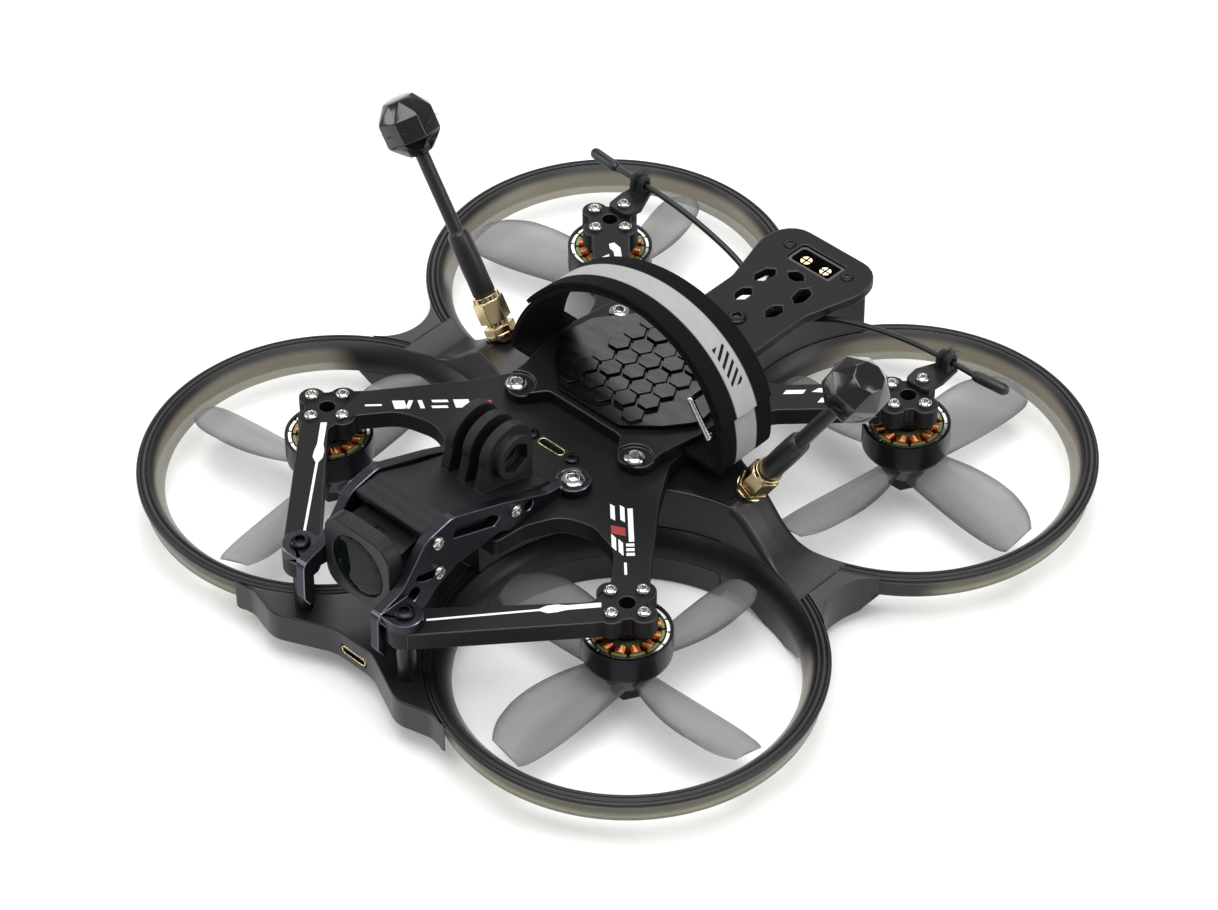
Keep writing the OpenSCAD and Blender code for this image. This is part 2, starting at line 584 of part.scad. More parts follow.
function tooth(turn) = [
    polar(core_r, turn - asin(tooth_half / core_r)), polar(shoe_in, turn - asin(tooth_half / shoe_in)),
    polar(shoe_in, turn - shoe_angle), for (k = [-2:2]) polar(stator_r, turn + shoe_angle * k / 2),
    polar(shoe_in, turn + shoe_angle), polar(shoe_in, turn + asin(tooth_half / shoe_in)),
    polar(core_r, turn + asin(tooth_half / core_r))
];
module motor_stators() color([0.35, 0.34, 0.3]) at_motors() difference() {
    translate([0, 0, stator_low]) linear_extrude(stator_high - stator_low)
        polygon([for (k = [0:teeth - 1]) each tooth(k * 360 / teeth)]);
    disc(tube_r, stator_low - 1, stator_high + 1, 48);
}
module motor_windings() color([0.72, 0.36, 0.16]) at_motors() for (k = [0:teeth - 1])
    rotate([0, 0, k * 360 / teeth]) difference() {
        translate([6.25, -1.55, stator_low - 1]) cube([2.75, 3.1, stator_high - stator_low + 2]);
        translate([core_r - 0.1, -tooth_half, stator_low])
            cube([3.4, 2 * tooth_half, stator_high - stator_low]);
    }

bell_top = 26.5;
bell_low = 15.7;
bell_wall = 0.9;
magnet_t = 1;
bell_curve = 5;
bell_profile = concat(
    [[0, bell_low], [6.6, bell_low]],
    [for (k = [0:bell_curve]) let (t = 90 * k / bell_curve)
        [bell_r - 3.4 * (1 - sin(t)), bell_low + 0.5 + 3 * (1 - cos(t))]],
    [[bell_r, bell_top], [bell_r - bell_wall, bell_top], [bell_r - bell_wall, stator_low - 1.9],
        [bell_r - 2.6, bell_low + 2], [0, bell_low + 2]]
);
vents = 6;
module bell(corner) color([0.07, 0.07, 0.075]) at_motor(corner) {
    difference() {
        rotate_extrude($fn = 96) polygon(bell_profile);
        for (k = [0:vents - 1]) rotate([0, 0, (k + 0.5) * 360 / vents])
            translate([7.6, 0, bell_low - 1]) cylinder(r = 1.7, h = 6, $fn = 32);
    }
    disc(shaft_r, bell_low + 1, arm_bottom - 1.4, 32);
    disc(2.42, 3.4, bell_low + 0.5, 32);
}
magnet_count = 14;
module magnets(corner) color([0.62, 0.62, 0.64]) at_motor(corner) for (k = [0:magnet_count - 1])
    rotate([0, 0, k * 360 / magnet_count]) intersection() {
        ring(bell_r - bell_wall - magnet_t, bell_r - bell_wall, stator_low - 0.5, bell_top - 0.4, 96);
        translate([9, -2.2, 0]) cube([5, 4.4, 40]);
    }

// ---- Propellers --------------------------------------------------------
hub_r = 6.4;
hub_low = 9.4;
hub_high = bell_low - 0.05;
first_blade = [[1, -1, -4], [-1, -1, 12], [1, 1, -3], [-1, 1, 12]];
function blade_from(corner) = [for (b = first_blade) if (b[0] == corner[0] && b[1] == corner[1]) b[2]][0];
// Chord, pitch angle and sweep of a blade at a fraction s of its length.
blade_root = 5;
blade_rows = 10;
blade_cols = 6;
function chord(s) = 8.5 + 9.5 * pow(sin(180 * min(1, s * 0.62 + 0.12)), 1.3) - 2.2 * pow(s, 6);
function pitch(s) = 34 - 19 * pow(s, 0.8);
function sweep(s) = 1.6 * sin(180 * s) - 1.2 * s * s;
function blade_point(s, c, side) =
    let (r = blade_root + (prop_r - 0.15 - blade_root) * s, w = chord(s), x = (c - 0.5) * w + sweep(s))
    let (camber = 0.07 * w * (1 - pow(2 * c - 1, 2)))
    let (half = (0.25 + 0.75 * (1 - s) + 0.35 * (1 - pow(2 * c - 1, 2))) * 0.8 * side)
    let (y = x * cos(pitch(s)) - (camber + half) * sin(pitch(s)))
    let (z = x * sin(pitch(s)) + (camber + half) * cos(pitch(s)))
    let (turn = -y / r * 180 / PI)
    [r * cos(turn), r * sin(turn), (hub_low + hub_high) / 2 + max(-3, min(3, z))];
blade_points = [
    for (i = [0:blade_rows], side = [-1, 1], j = [0:blade_cols])
        blade_point(i / blade_rows, j / blade_cols, side)
];
row = 2 * (blade_cols + 1);
function loop_at(j) = j <= blade_cols ? j : row + blade_cols - j;
blade_sides = [for (i = [0:blade_rows - 1], k = [0:row - 1])
    let (a = i * row + loop_at(k), b = i * row + loop_at((k + 1) % row)) [a, b, b + row, a + row]];
blade_ends = [
    [for (k = [row - 1:-1:0]) loop_at(k)],
    [for (k = [0:row - 1]) blade_rows * row + loop_at(k)]
];
module propeller(corner) color([0.62, 0.63, 0.63, 0.8]) at_motor(corner) {
    hand = corner[0] * corner[1] > 0 ? 1 : 0;
    difference() {
        union() {
            disc(hub_r, hub_low, hub_high, 64);
            for (k = [0:blades - 1]) rotate([0, 0, blade_from(corner) + k * 360 / blades])
                mirror([0, hand, 0]) polyhedron(blade_points, concat(blade_sides, blade_ends), 8);
        }
        disc(2.5, hub_low - 4, hub_high + 4, 48);
        disc(4.6, hub_high - 1.2, hub_high + 4, 48);
    }
}
module prop_nut(corner) color([0.08, 0.08, 0.09]) at_motor(corner) difference() {
    union() {
        disc(5, hub_low - 1.25, hub_low - 0.05, 48);
        translate([0, 0, hub_low - 5.2]) cylinder(r = 8 / sqrt(3), h = 4, $fn = 6);
    }
    disc(2.45, 0, 20, 48);
}

// ---- Main antennas -----------------------------------------------------
socket_x = 46.8;
socket_y = 2.3;
seat_z = 31;
socket_hole = 3.2;
socket_seat = 5;
module on_socket(side) translate([side * socket_x, socket_y, seat_z]) rotate([0, side * lean, 0]) children();
module antenna_sockets() color([0.83, 0.66, 0.28]) for (side = SIDES) {
    on_socket(side) difference() {
        union() {
            disc(4.4, 0.2, 1.4, 48);
            translate([0, 0, 1.4]) cylinder(r = 8 / sqrt(3), h = 2, $fn = 6);
            disc(3.05, 1.4, 8.5, 32);
        }
        disc(0.8, 4, 9, 24);
    }
    translate([side * socket_x, socket_y, 0]) disc(2.8, 24, seat_z + 1, 32);
}
nut_from = 5;
nut_len = 8;
module antenna_nut(side) color([0.83, 0.66, 0.28]) on_socket(side) difference() {
    union() {
        translate([0, 0, nut_from]) cylinder(r = 8 / sqrt(3), h = nut_len - 1.6, $fn = 6);
        disc(3.9, nut_from + nut_len - 1.6, nut_from + nut_len, 48);
    }
    disc(3.1, nut_from - 1, 9.4, 48);
    disc(2.35, nut_from, 20, 48);
}
sleeve_r = 3.3;
module antenna(side) color([0.05, 0.05, 0.055]) on_socket(side) {
    disc(2.3, 8.7, nut_from + nut_len + 0.2, 32);
    disc(sleeve_r, nut_from + nut_len + 0.2, 33, 32);
    disc(2, 32, stem_len - 4, 32);
    translate([0, 0, stem_len]) rotate_extrude($fn = 96) polygon([
        [0, -head_r * 0.95], [head_r * 0.55, -head_r * 0.95], [head_r, -head_r * 0.42],
        [head_r, head_r * 0.42], [head_r * 0.55, head_r * 0.95], [0, head_r * 0.95]
    ]);
}

// ---- Receiver antennas -------------------------------------------------
// Points of one lead from the tail's wall to its end cap, on the +X side.
lead_path = [
    [5, 68.3, 29], [8.5, 68.3, 29], [13, 69.3, 30.3], [17.6, 70.8, 32], [26, 71.6, 34.6],
    [44, 72, 38.9], [58, 71, 40.6], [69, 71.4, 40.3]
];
lead_r = 0.9;
cap_r = 1.7;
cap_end = [78.5, 72.6, 40];
lead_sides = 8;
module rod(a, b, r, fn = 24) {
    d = b - a;
    translate(a) rotate([0, acos(d[2] / norm(d)), atan2(d[1], d[0])]) cylinder(r = r, h = norm(d), $fn = fn);
}
lead_last = len(lead_path) - 1;
function lead_dir(i) = unit(lead_path[min(i + 1, lead_last)] - lead_path[max(i - 1, 0)]);
function lead_ring(i) = let (d = lead_dir(i), u = unit(cross(d, [0, 0, 1])), v = cross(d, u))
    [for (k = [0:lead_sides - 1]) let (t = 360 * k / lead_sides)
        lead_path[i] + lead_r * (u * cos(t) + v * sin(t))];
lead_points = [for (i = [0:lead_last]) each lead_ring(i)];
lead_walls = [for (i = [0:lead_last - 1], k = [0:lead_sides - 1])
    let (a = i * lead_sides + k, b = i * lead_sides + (k + 1) % lead_sides)
    [a, a + lead_sides, b + lead_sides, b]];
lead_ends = [
    [for (k = [0:lead_sides - 1]) k],
    [for (k = [lead_sides - 1:-1:0]) lead_last * lead_sides + k]
];
module receiver_antennas() color([0.04, 0.04, 0.04]) both_sides() {
    polyhedron(lead_points, concat(lead_walls, lead_ends));
    rod(lead_path[lead_last] - [1, 0, 0], cap_end, cap_r);
}
clamp_at = [58, 71];
clamp_t = 1.6;
module receiver_clamps() color([0.06, 0.06, 0.065]) both_sides() difference() {
    union() {
        slab([[motor_x - 4, motor_x + 3, 2], [motor_x + 4, motor_x + 3, 2], [motor_x + 4.6, 66, 1],
            [clamp_at[0] + 2.4, clamp_at[1] + 2.4, 1], [clamp_at[0] - 2.4, clamp_at[1] + 2.4, 1],
            [motor_x - 4.6, 65, 1]], arm_top, arm_top + clamp_t);
        side_slab([[clamp_at[1] - 2.8, arm_top, 0.3], [clamp_at[1] + 2.4, arm_top, 0.3],
            [clamp_at[1] + 2, arm_top + 7, 1.9], [clamp_at[1] - 2, arm_top + 7, 1.9]],
            clamp_at[0] - 2.2, clamp_at[0] + 2.2);
    }
    rod(lead_path[5], lead_path[6], lead_r + 0.3);
    rod(lead_path[6], lead_path[7], lead_r + 0.3);
    translate(lead_path[6]) sphere(r = lead_r + 0.3, $fn = 24);
    translate([motor_x, motor_x + screw_circle / 2, 0]) disc(1.1, arm_top - 1, arm_top + 20, 24);
}

// ---- Electronics -------------------------------------------------------
board_w = 35;
module board(z, t) difference() {
    slab([for (x = SIDES, y = SIDES) [x * board_w / 2, x * y * board_w / 2, 5]], z, z + t);
    for (x = SIDES, y = SIDES) translate([x * stack_pitch / 2, y * stack_pitch / 2, 0])
        disc(1.55, z - 1, z + t + 1, 24);
}
module speed_controller() color([0.05, 0.2, 0.12]) {
    board(5, 1.6);
    for (x = [-9, -3, 3, 9], y = SIDES) translate([x - 2.2, y * 8 - 3, 6.6]) cube([4.4, 6, 1]);
}
module flight_controller() color([0.05, 0.05, 0.2]) {
    board(12, 1.4);
    translate([-3.5, -3.5, 13.4]) cube([7, 7, 1]);
    translate([6, -10, 13.4]) cube([5, 12, 1.6]);
    translate([-4.5, -27.6, 30.6]) difference() {
        cube([9, 2.6, 5.2]);
        translate([0.3, 0.3, 1]) cube([8.4, 2, 5]);
    }
}
module video_transmitter() color([0.5, 0.5, 0.53]) difference() {
    union() {
        board(19, 1.4);
        translate([-12.5, -15, 20.4]) cube([25, 30, 6]);
    }
    for (i = [-5:5]) translate([i * 2.1 - 0.5, -16, 23.6]) cube([1, 32, 4]);
}
module capacitor() color([0.1, 0.12, 0.3]) translate([0, 62, 22]) rotate([90, 0, 0])
    cylinder(r = 4, h = 14, center = true, $fn = 48);
module stack_screws() color([0.2, 0.2, 0.22]) for (x = SIDES, y = SIDES)
    translate([x * stack_pitch / 2, y * stack_pitch / 2, 0]) {
        disc(1.5, 0.4, 22, 24);
        disc(2.7, wall, 3.4, 6);
        for (z = [6.7, 13.5]) disc(2.4, z, z + 5, 32);
    }

duct(FRONT_LEFT);  // duct_front_left
duct(FRONT_RIGHT);  // duct_front_right
duct(REAR_LEFT);  // duct_rear_left
duct(REAR_RIGHT);  // duct_rear_right
front_bumper();
side_bridges();
body_tub();
body_cover();
led_strips();
front_arm_plate();
rear_arm_plate();
battery_plate();
battery_pad();
battery_strap();
strap_buckle();
rear_plate();
power_socket();
power_pins();
cage_plates();
front_posts();
camera_body();
camera_bezel();
camera_glass();
camera_screws();
camera_cover();
steel_screws();
black_screws();
motor_screws();
motor_bases();
motor_bearings();
motor_stators();
motor_windings();
bell(FRONT_LEFT);  // bell_front_left
bell(FRONT_RIGHT);  // bell_front_right
bell(REAR_LEFT);  // bell_rear_left
bell(REAR_RIGHT);  // bell_rear_right
magnets(FRONT_LEFT);  // magnets_front_left
magnets(FRONT_RIGHT);  // magnets_front_right
magnets(REAR_LEFT);  // magnets_rear_left
magnets(REAR_RIGHT);  // magnets_rear_right
propeller(FRONT_LEFT);  // propeller_front_left
propeller(FRONT_RIGHT);  // propeller_front_right
propeller(REAR_LEFT);  // propeller_rear_left
propeller(REAR_RIGHT);  // propeller_rear_right
prop_nut(FRONT_LEFT);  // nut_front_left
prop_nut(FRONT_RIGHT);  // nut_front_right
prop_nut(REAR_LEFT);  // nut_rear_left
prop_nut(REAR_RIGHT);  // nut_rear_right
antenna_sockets();
antenna(1);  // antenna_left
antenna(-1);  // antenna_right
antenna_nut(1);  // antenna_nut_left
antenna_nut(-1);  // antenna_nut_right
receiver_antennas();
receiver_clamps();
speed_controller();
flight_controller();
video_transmitter();
capacitor();
stack_screws();
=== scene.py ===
import json
import math

import bmesh
import bpy
from mathutils import Matrix, Vector

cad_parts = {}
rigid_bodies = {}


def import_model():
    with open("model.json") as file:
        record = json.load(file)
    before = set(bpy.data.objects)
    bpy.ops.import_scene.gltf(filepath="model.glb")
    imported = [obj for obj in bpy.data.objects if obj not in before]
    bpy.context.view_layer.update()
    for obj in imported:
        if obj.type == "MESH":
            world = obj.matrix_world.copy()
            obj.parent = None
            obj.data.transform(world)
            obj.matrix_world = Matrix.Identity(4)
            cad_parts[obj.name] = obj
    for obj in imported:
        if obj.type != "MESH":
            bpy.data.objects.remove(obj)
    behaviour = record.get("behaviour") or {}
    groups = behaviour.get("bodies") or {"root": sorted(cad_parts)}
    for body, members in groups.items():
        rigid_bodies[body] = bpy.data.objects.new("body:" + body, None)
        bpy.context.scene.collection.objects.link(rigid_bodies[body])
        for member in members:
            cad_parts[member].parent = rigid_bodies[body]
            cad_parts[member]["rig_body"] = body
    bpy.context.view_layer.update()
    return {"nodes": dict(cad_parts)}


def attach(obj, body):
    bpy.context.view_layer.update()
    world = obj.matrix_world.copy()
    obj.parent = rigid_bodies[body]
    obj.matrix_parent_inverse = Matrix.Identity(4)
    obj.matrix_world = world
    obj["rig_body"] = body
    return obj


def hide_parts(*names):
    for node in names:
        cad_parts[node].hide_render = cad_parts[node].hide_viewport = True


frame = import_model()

MM = 0.001
NODES = frame["nodes"]
MOTOR = 56.5685
ARM_TOP = 36.0
CORNERS = {"front_left": (1, -1), "front_right": (-1, -1), "rear_left": (1, 1), "rear_right": (-1, 1)}
SIDES = {"left": 1, "right": -1}


# ---- Finishes ----------------------------------------------------------

class Value:
    """A shader socket that grows its own maths nodes when it is used in an expression."""

    def __init__(self, finish, socket):
        self.finish, self.socket = finish, socket

    def maths(self, operation, *values):
        return self.finish.node("ShaderNodeMath", {"operation": operation}, dict(enumerate(values)))

    def __add__(self, other):
        return self.maths("ADD", self, other)

    def __sub__(self, other):
        return self.maths("SUBTRACT", self, other)

    def __rsub__(self, other):
        return self.maths("SUBTRACT", other, self)

    def __mul__(self, other):
        return self.maths("MULTIPLY", self, other)

    def __pow__(self, other):
        return self.maths("POWER", self, other)

    def __abs__(self):
        return self.maths("ABSOLUTE", self)

    __radd__, __rmul__ = __add__, __mul__

    def sine(self):
        return self.maths("SINE", self)

    def cosine(self):
        return self.maths("COSINE", self)

    def above(self, level, blend):
        """0 below the level and 1 above it, over a soft edge."""
        return self.finish.node("ShaderNodeMapRange", {"interpolation_type": "SMOOTHSTEP"},
                                {0: self, 1: level - blend, 2: level + blend})

    def between(self, low, high, blend):
        return self.above(low, blend) - self.above(high, blend)


class Finish:
    """A material: constants on its shader, and nodes for what changes over a surface."""

    def __init__(self, name, colour, roughness, **constants):
        self.material = bpy.data.materials.new(name)
        self.material.use_nodes = True
        self.tree = self.material.node_tree
        self.shader = self.tree.nodes["Principled BSDF"]
        self.set(Base_Color=colour, Roughness=roughness, **constants)

    def feed(self, socket, value):
        if isinstance(value, Value):
            self.tree.links.new(value.socket, socket)
        elif hasattr(value, "__len__") and socket.type == "RGBA":
            socket.default_value = (*value[:3], 1)
        else:
            socket.default_value = value

    def set(self, **sockets):
        for name, value in sockets.items():
            self.feed(self.shader.inputs[name.replace("_", " ")], value)
        return self

    def node(self, kind, settings=None, sockets=None, output=0):
        made = self.tree.nodes.new(kind)
        for name, value in (settings or {}).items():
            setattr(made, name, value)
        for name, value in (sockets or {}).items():
            self.feed(made.inputs[name], value)
        return Value(self, made.outputs[output])

    def place(self):
        return self.node("ShaderNodeTexCoord", output="Object")

    def axes(self, vector):
        split = self.node("ShaderNodeSeparateXYZ", None, {0: vector}).socket.node
        return [Value(self, socket) for socket in split.outputs]

    def uv(self):
        return self.axes(self.node("ShaderNodeUVMap", {"uv_map": "UVMap"}))[:2]

    def noise(self, scale, detail=2.0, stretch=(1, 1, 1)):
        vector = self.node("ShaderNodeMapping", None, {0: self.place(), "Scale": stretch})
        return self.node("ShaderNodeTexNoise", None, {"Vector": vector, "Scale": scale, "Detail": detail})

    def mix(self, factor, low, high):
        return self.node("ShaderNodeMix", {"data_type": "RGBA"}, {0: factor, 6: low, 7: high}, 2)

    def bump(self, height, strength, distance):
        self.set(Normal=self.node("ShaderNodeBump", None,
                                  {"Height": height, "Strength": strength, "Distance": distance}))
        return self


def scaled(colour, factor):
    return tuple(channel * factor for channel in colour)


def moulded(name, colour, roughness, grain=2600, spread=0.25, depth=0.00004, **constants):
    """Plastic or coated metal: cloudy tone, uneven gloss and a fine grain."""
    finish = Finish(name, colour, roughness, **constants)
    cloud = finish.noise(70, 3)
    fine = finish.noise(grain, 2)
    finish.set(Base_Color=finish.mix(cloud, scaled(colour, 1 - spread), scaled(colour, 1 + spread)),
               Roughness=roughness - 0.07 + 0.08 * cloud + 0.06 * fine)
    return finish.bump(fine, 0.25, depth)


def metal(name, colour, roughness, scale=900, stretch=(1, 1, 1), **constants):
    """Metal with faint handling marks and a slightly uneven shine."""
    finish = Finish(name, colour, roughness, Metallic=1.0, **constants)
    mark = finish.noise(scale, 4, stretch)
    finish.set(Base_Color=finish.mix(mark, scaled(colour, 0.72), scaled(colour, 1.08)),
               Roughness=roughness - 0.05 + 0.12 * mark)
    return finish.bump(mark, 0.12, 0.00003)


OUTER_WALL = 0.0517


def smoke(name, wall, rim, black, clear, roughness):
    """Smoked see-through plastic: dark at the lip, with painted shade darkening the outside wall, and solid
    black where it joins the body.
    """
    finish = Finish(name, wall, roughness, IOR=1.45, Specular_IOR_Level=0.4)
    x, y, z = finish.axes(finish.place())
    cloud = finish.noise(90, 3)
    lip = z.above(0.0150, 0.0009)
    outside = (abs(abs(x) - MOTOR * MM) ** 2 + abs(abs(y) - MOTOR * MM) ** 2).above(OUTER_WALL ** 2, 0.00002)
    front = 1 - y.above(0, 0.001)
    at_side = 1 - abs(y).above(0.022, 0.004)
    at_front = front * (1 - abs(x).above(0.038, 0.005))
    at_rear = (1 - front) * (1 - abs(x).above(0.013, 0.004))
    joined = 1 - (1 - at_side) * (1 - at_front) * (1 - at_rear)
    foot = (1 - z.above(0.0104, 0.0010)) * (1 - 0.5 * outside)
    tone = finish.mix(foot * 0.6, wall, (0.22, 0.22, 0.08))
    # Painted shade: the outer wall is darkened here, and made less clear in the alpha below, standing in for
    # the shade seen through it from the ring's inner side.
    tone = finish.mix(outside * 0.75, tone, scaled(wall, 0.35))
    tone = finish.mix(outside * 0.5 * z.between(0.0103, 0.0120, 0.0005), tone, (0.26, 0.28, 0.13))
    tone = finish.mix(lip, tone, rim)
    finish.set(Base_Color=finish.mix(joined, tone, black),
               Roughness=roughness - 0.06 + 0.12 * cloud,
               Alpha=1 - clear * (1 - lip) * (1 - joined) * (1 - 0.45 * outside) * (0.85 + 0.3 * cloud))
    fine = finish.noise(1500, 3, (1, 1, 6))
    return finish.bump(fine, 0.15, 0.00004)


def printed(name, colour):
    """Printed plastic with its fine layers showing as lines."""
    finish = Finish(name, colour, 0.5, Specular_IOR_Level=0.3)
    height = finish.axes(finish.place())[2]
    wander = finish.noise(220, 3)
    layers = (height * (2 * math.pi / 0.0003) + 2.5 * wander).sine()
    blotch = finish.noise(420, 4)
    finish.set(Base_Color=finish.mix(blotch, scaled(colour, 0.65), scaled(colour, 1.5)),
               Roughness=0.40 + 0.18 * blotch + 0.04 * layers)
    return finish.bump(layers + 2.5 * blotch, 0.5, 0.00006)


THREAD = 0.9


def webbing(name, black, grey, length, width, print_at):
    """Woven strap with a light reflective stripe along its middle."""
    finish = Finish(name, black, 0.85, Specular_IOR_Level=0.12)
    along, across = finish.uv()
    warp = (along * (math.pi * length / THREAD)).sine()
    weft = (across * (math.pi * width / THREAD)).sine()
    weave = abs(warp * weft)
    fuzz = finish.noise(1400, 4)
    stripe = across.between(0.190, 0.310, 0.004)
    slant = along * length + (across - 0.25) * 60
    bars = (slant * 1.9).sine().above(0.15, 0.1)
    mark = bars * along.between(*print_at, 0.001) * across.between(0.215, 0.285, 0.003)
    wear = finish.noise(300, 5)
    cloth = finish.mix(weave * 0.6 + fuzz * 0.4, scaled(black, 0.35), scaled(black, 2.1))
    pale = finish.mix(wear * 0.6 + weave * 0.12, scaled(grey, 0.82), scaled(grey, 1.12))
    tape = finish.mix(mark, pale, black)
    finish.set(Base_Color=finish.mix(stripe, cloth, tape), Roughness=0.9 - 0.42 * stripe + 0.1 * wear)
    return finish.bump((1 - stripe) * (weave + 0.9 * fuzz) + stripe * 0.12 * weave, 0.8, 0.00035)


def laminated(name, colour):
    """Stacked steel sheets under a thin green varnish."""
    finish = Finish(name, colour, 0.38, Metallic=0.55)
    sheets = (finish.axes(finish.place())[2] * (2 * math.pi / 0.0004)).sine()
    varnish = finish.noise(500, 3)
    finish.set(Base_Color=finish.mix(varnish, colour, (0.30, 0.33, 0.14)),
               Roughness=0.34 + 0.16 * varnish)
    return finish.bump(sheets, 0.5, 0.00005)


def wire(name, colour):
    finish = Finish(name, colour, 0.28, Metallic=1.0, Coat_Weight=0.4, Coat_Roughness=0.12)
    shade = finish.noise(700, 3)
    finish.set(Base_Color=finish.mix(shade, scaled(colour, 0.6), scaled(colour, 1.2)),
               Roughness=0.22 + 0.16 * shade)
    return finish.bump(finish.noise(2500, 2), 0.2, 0.00003)


def rubber(name, colour):
    """Moulded rubber, glossy with faint smears."""
    finish = Finish(name, colour, 0.2, Specular_IOR_Level=0.3)
    smear = finish.noise(120, 5, (1, 3, 1))
    finish.set(Base_Color=finish.mix(smear, scaled(colour, 0.7), scaled(colour, 1.5)),
               Roughness=0.12 + 0.28 * smear)
    return finish.bump(finish.noise(700, 3), 0.1, 0.00006)


def pale_blade(name, colour):
    """Smoky, half clear propeller plastic, with painted shade along the leading and trailing edges, which are
    also made less see-through.
    """
    finish = Finish(name, colour, 0.34, IOR=1.45, Coat_Weight=0.2, Coat_Roughness=0.25)
    flow = finish.noise(60, 3, (1, 1, 4))
    across = finish.uv()[1]
    # Painted shade: the blade's leading and trailing edges are darkened and made less clear, standing in for
    # the dark rim that light gives a see-through edge.
    edge = abs((across * (2 * math.pi)).cosine()) ** 6
    clouded = finish.mix(flow, scaled(colour, 0.92), scaled(colour, 1.08))
    finish.set(Base_Color=finish.mix(edge, clouded, scaled(colour, 0.5)),
               Alpha=0.54 + 0.06 * flow + 0.2 * edge, Roughness=0.28 + 0.14 * flow)
    return finish.bump(finish.noise(1200, 2), 0.1, 0.00003)


def circuit(name, mask):
    """Circuit board: lacquer, tracks and tinned spots."""
    finish = Finish(name, mask, 0.4, Coat_Weight=0.3, Coat_Roughness=0.2)
    cells = finish.node("ShaderNodeTexVoronoi", None, {"Vector": finish.place(), "Scale": 420})
    tracks = finish.noise(260, 1).between(0.47, 0.53, 0.01)
    spot = 1 - cells.above(0.16, 0.02)
    finish.set(Base_Color=finish.mix(spot, finish.mix(tracks, mask, scaled(mask, 2.2)), (0.6, 0.6, 0.58)),
               Metallic=spot, Roughness=0.42 - 0.15 * spot)
    return finish.bump(spot + 0.4 * tracks, 0.3, 0.00008)


MOULDING = (0.0052, 0.0052, 0.0060)
BODY_BLACK = moulded("body_black", MOULDING, 0.36, Specular_IOR_Level=0.45)
DUCT_SMOKE = smoke("duct_smoke", (0.215, 0.190, 0.155), (0.013, 0.013, 0.013), MOULDING, 0.36, 0.36)
ARM_BLACK = moulded("arm_black", (0.0035, 0.0035, 0.0045), 0.52, 3200, 0.3, Specular_IOR_Level=0.22)
ARM_EDGE = moulded("arm_edge", (0.010, 0.010, 0.012), 0.34, 1800, 0.3)
# Painted highlight: a lighter, bluish colour on the battery plate's rounded edges stands in for the thin
# highlight lines the light draws along them.
PLATE_EDGE_HIGHLIGHT = moulded("plate_edge_highlight", (0.022, 0.022, 0.027), 0.30, 1800, 0.3)
BRIGHT_EDGE = metal("bright_edge", (0.20, 0.205, 0.235), 0.32, 1200)
CAGE_GREY = metal("cage_grey", (0.040, 0.041, 0.052), 0.42, 1400, Specular_IOR_Level=0.5)
POST_BLACK = moulded("post_black", (0.010, 0.010, 0.012), 0.32, 1500, 0.2, Metallic=0.5)
COVER_BLACK = printed("cover_black", (0.0055, 0.0055, 0.0065))
CAMERA_GREY = moulded("camera_grey", (0.007, 0.007, 0.008), 0.42, 3000, Specular_IOR_Level=0.25)
STEEL = metal("steel", (0.60, 0.59, 0.57), 0.17, 1500)
BLACK_STEEL = metal("black_steel", (0.030, 0.030, 0.035), 0.34, 1300)
BELL_BLACK = metal("bell_black", (0.020, 0.020, 0.022), 0.33, 700, (1, 1, 8))
MAGNET = metal("magnet", (0.60, 0.59, 0.55), 0.25, 1000)
STATOR = laminated("stator", (0.10, 0.11, 0.06))
COPPER = wire("copper", (0.78, 0.30, 0.10))
BLADE = pale_blade("blade", (0.17, 0.173, 0.176))
RUBBER = rubber("rubber", (0.0022, 0.0022, 0.003))
SOCKET_BLACK = moulded("socket_black", (0.006, 0.006, 0.006), 0.32)
GOLD = metal("gold", (0.80, 0.63, 0.36), 0.17, 1100)
ANTENNA_BLACK = moulded("antenna_black", (0.0035, 0.0035, 0.004), 0.16, 2200, 0.2, Coat_Weight=0.3)
SLEEVE_BLACK = moulded("sleeve_black", (0.005, 0.005, 0.006), 0.42, 700, 0.3, 0.00012)
LEAD_BLACK = moulded("lead_black", (0.007, 0.007, 0.007), 0.38, 1800)
STRIP = moulded("strip", (0.62, 0.66, 0.30), 0.5, 1200)
BOARD = circuit("board", (0.010, 0.032, 0.020))
WHITE_INK = moulded("white_ink", (0.78, 0.78, 0.79), 0.5, 2600, 0.05)
RED_INK = moulded("red_ink", (0.28, 0.025, 0.022), 0.5, 2600, 0.1)


# ---- Modelling ---------------------------------------------------------

def add_object(name, data):
    made = bpy.data.objects.new(name, data)
    bpy.context.scene.collection.objects.link(made)
    return made


def finish_piece(mesh_work, name, finishes, body, replaces=(), smooth=35.0):
    """Turns modelling work in millimetres into an object that rides on a body."""
    bmesh.ops.scale(mesh_work, vec=(MM, MM, MM), verts=mesh_work.verts)
    mesh = bpy.data.meshes.new(name)
    mesh_work.to_mesh(mesh)
    mesh_work.free()
    for finish in finishes if isinstance(finishes, (list, tuple)) else [finishes]:
        mesh.materials.append(finish.material)
    mesh.polygons.foreach_set("use_smooth", [True] * len(mesh.polygons))
    mesh.set_sharp_from_angle(angle=math.radians(smooth))
    obj = add_object(name, mesh)
    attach(obj, body)
    if replaces:
        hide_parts(*replaces)
    return obj


def even_shading(piece):
    """Keeps broad faces flat and lets only the rounded edges catch the light."""
    even = piece.modifiers.new("even_shading", "WEIGHTED_NORMAL")
    even.keep_sharp, even.weight = True, 80


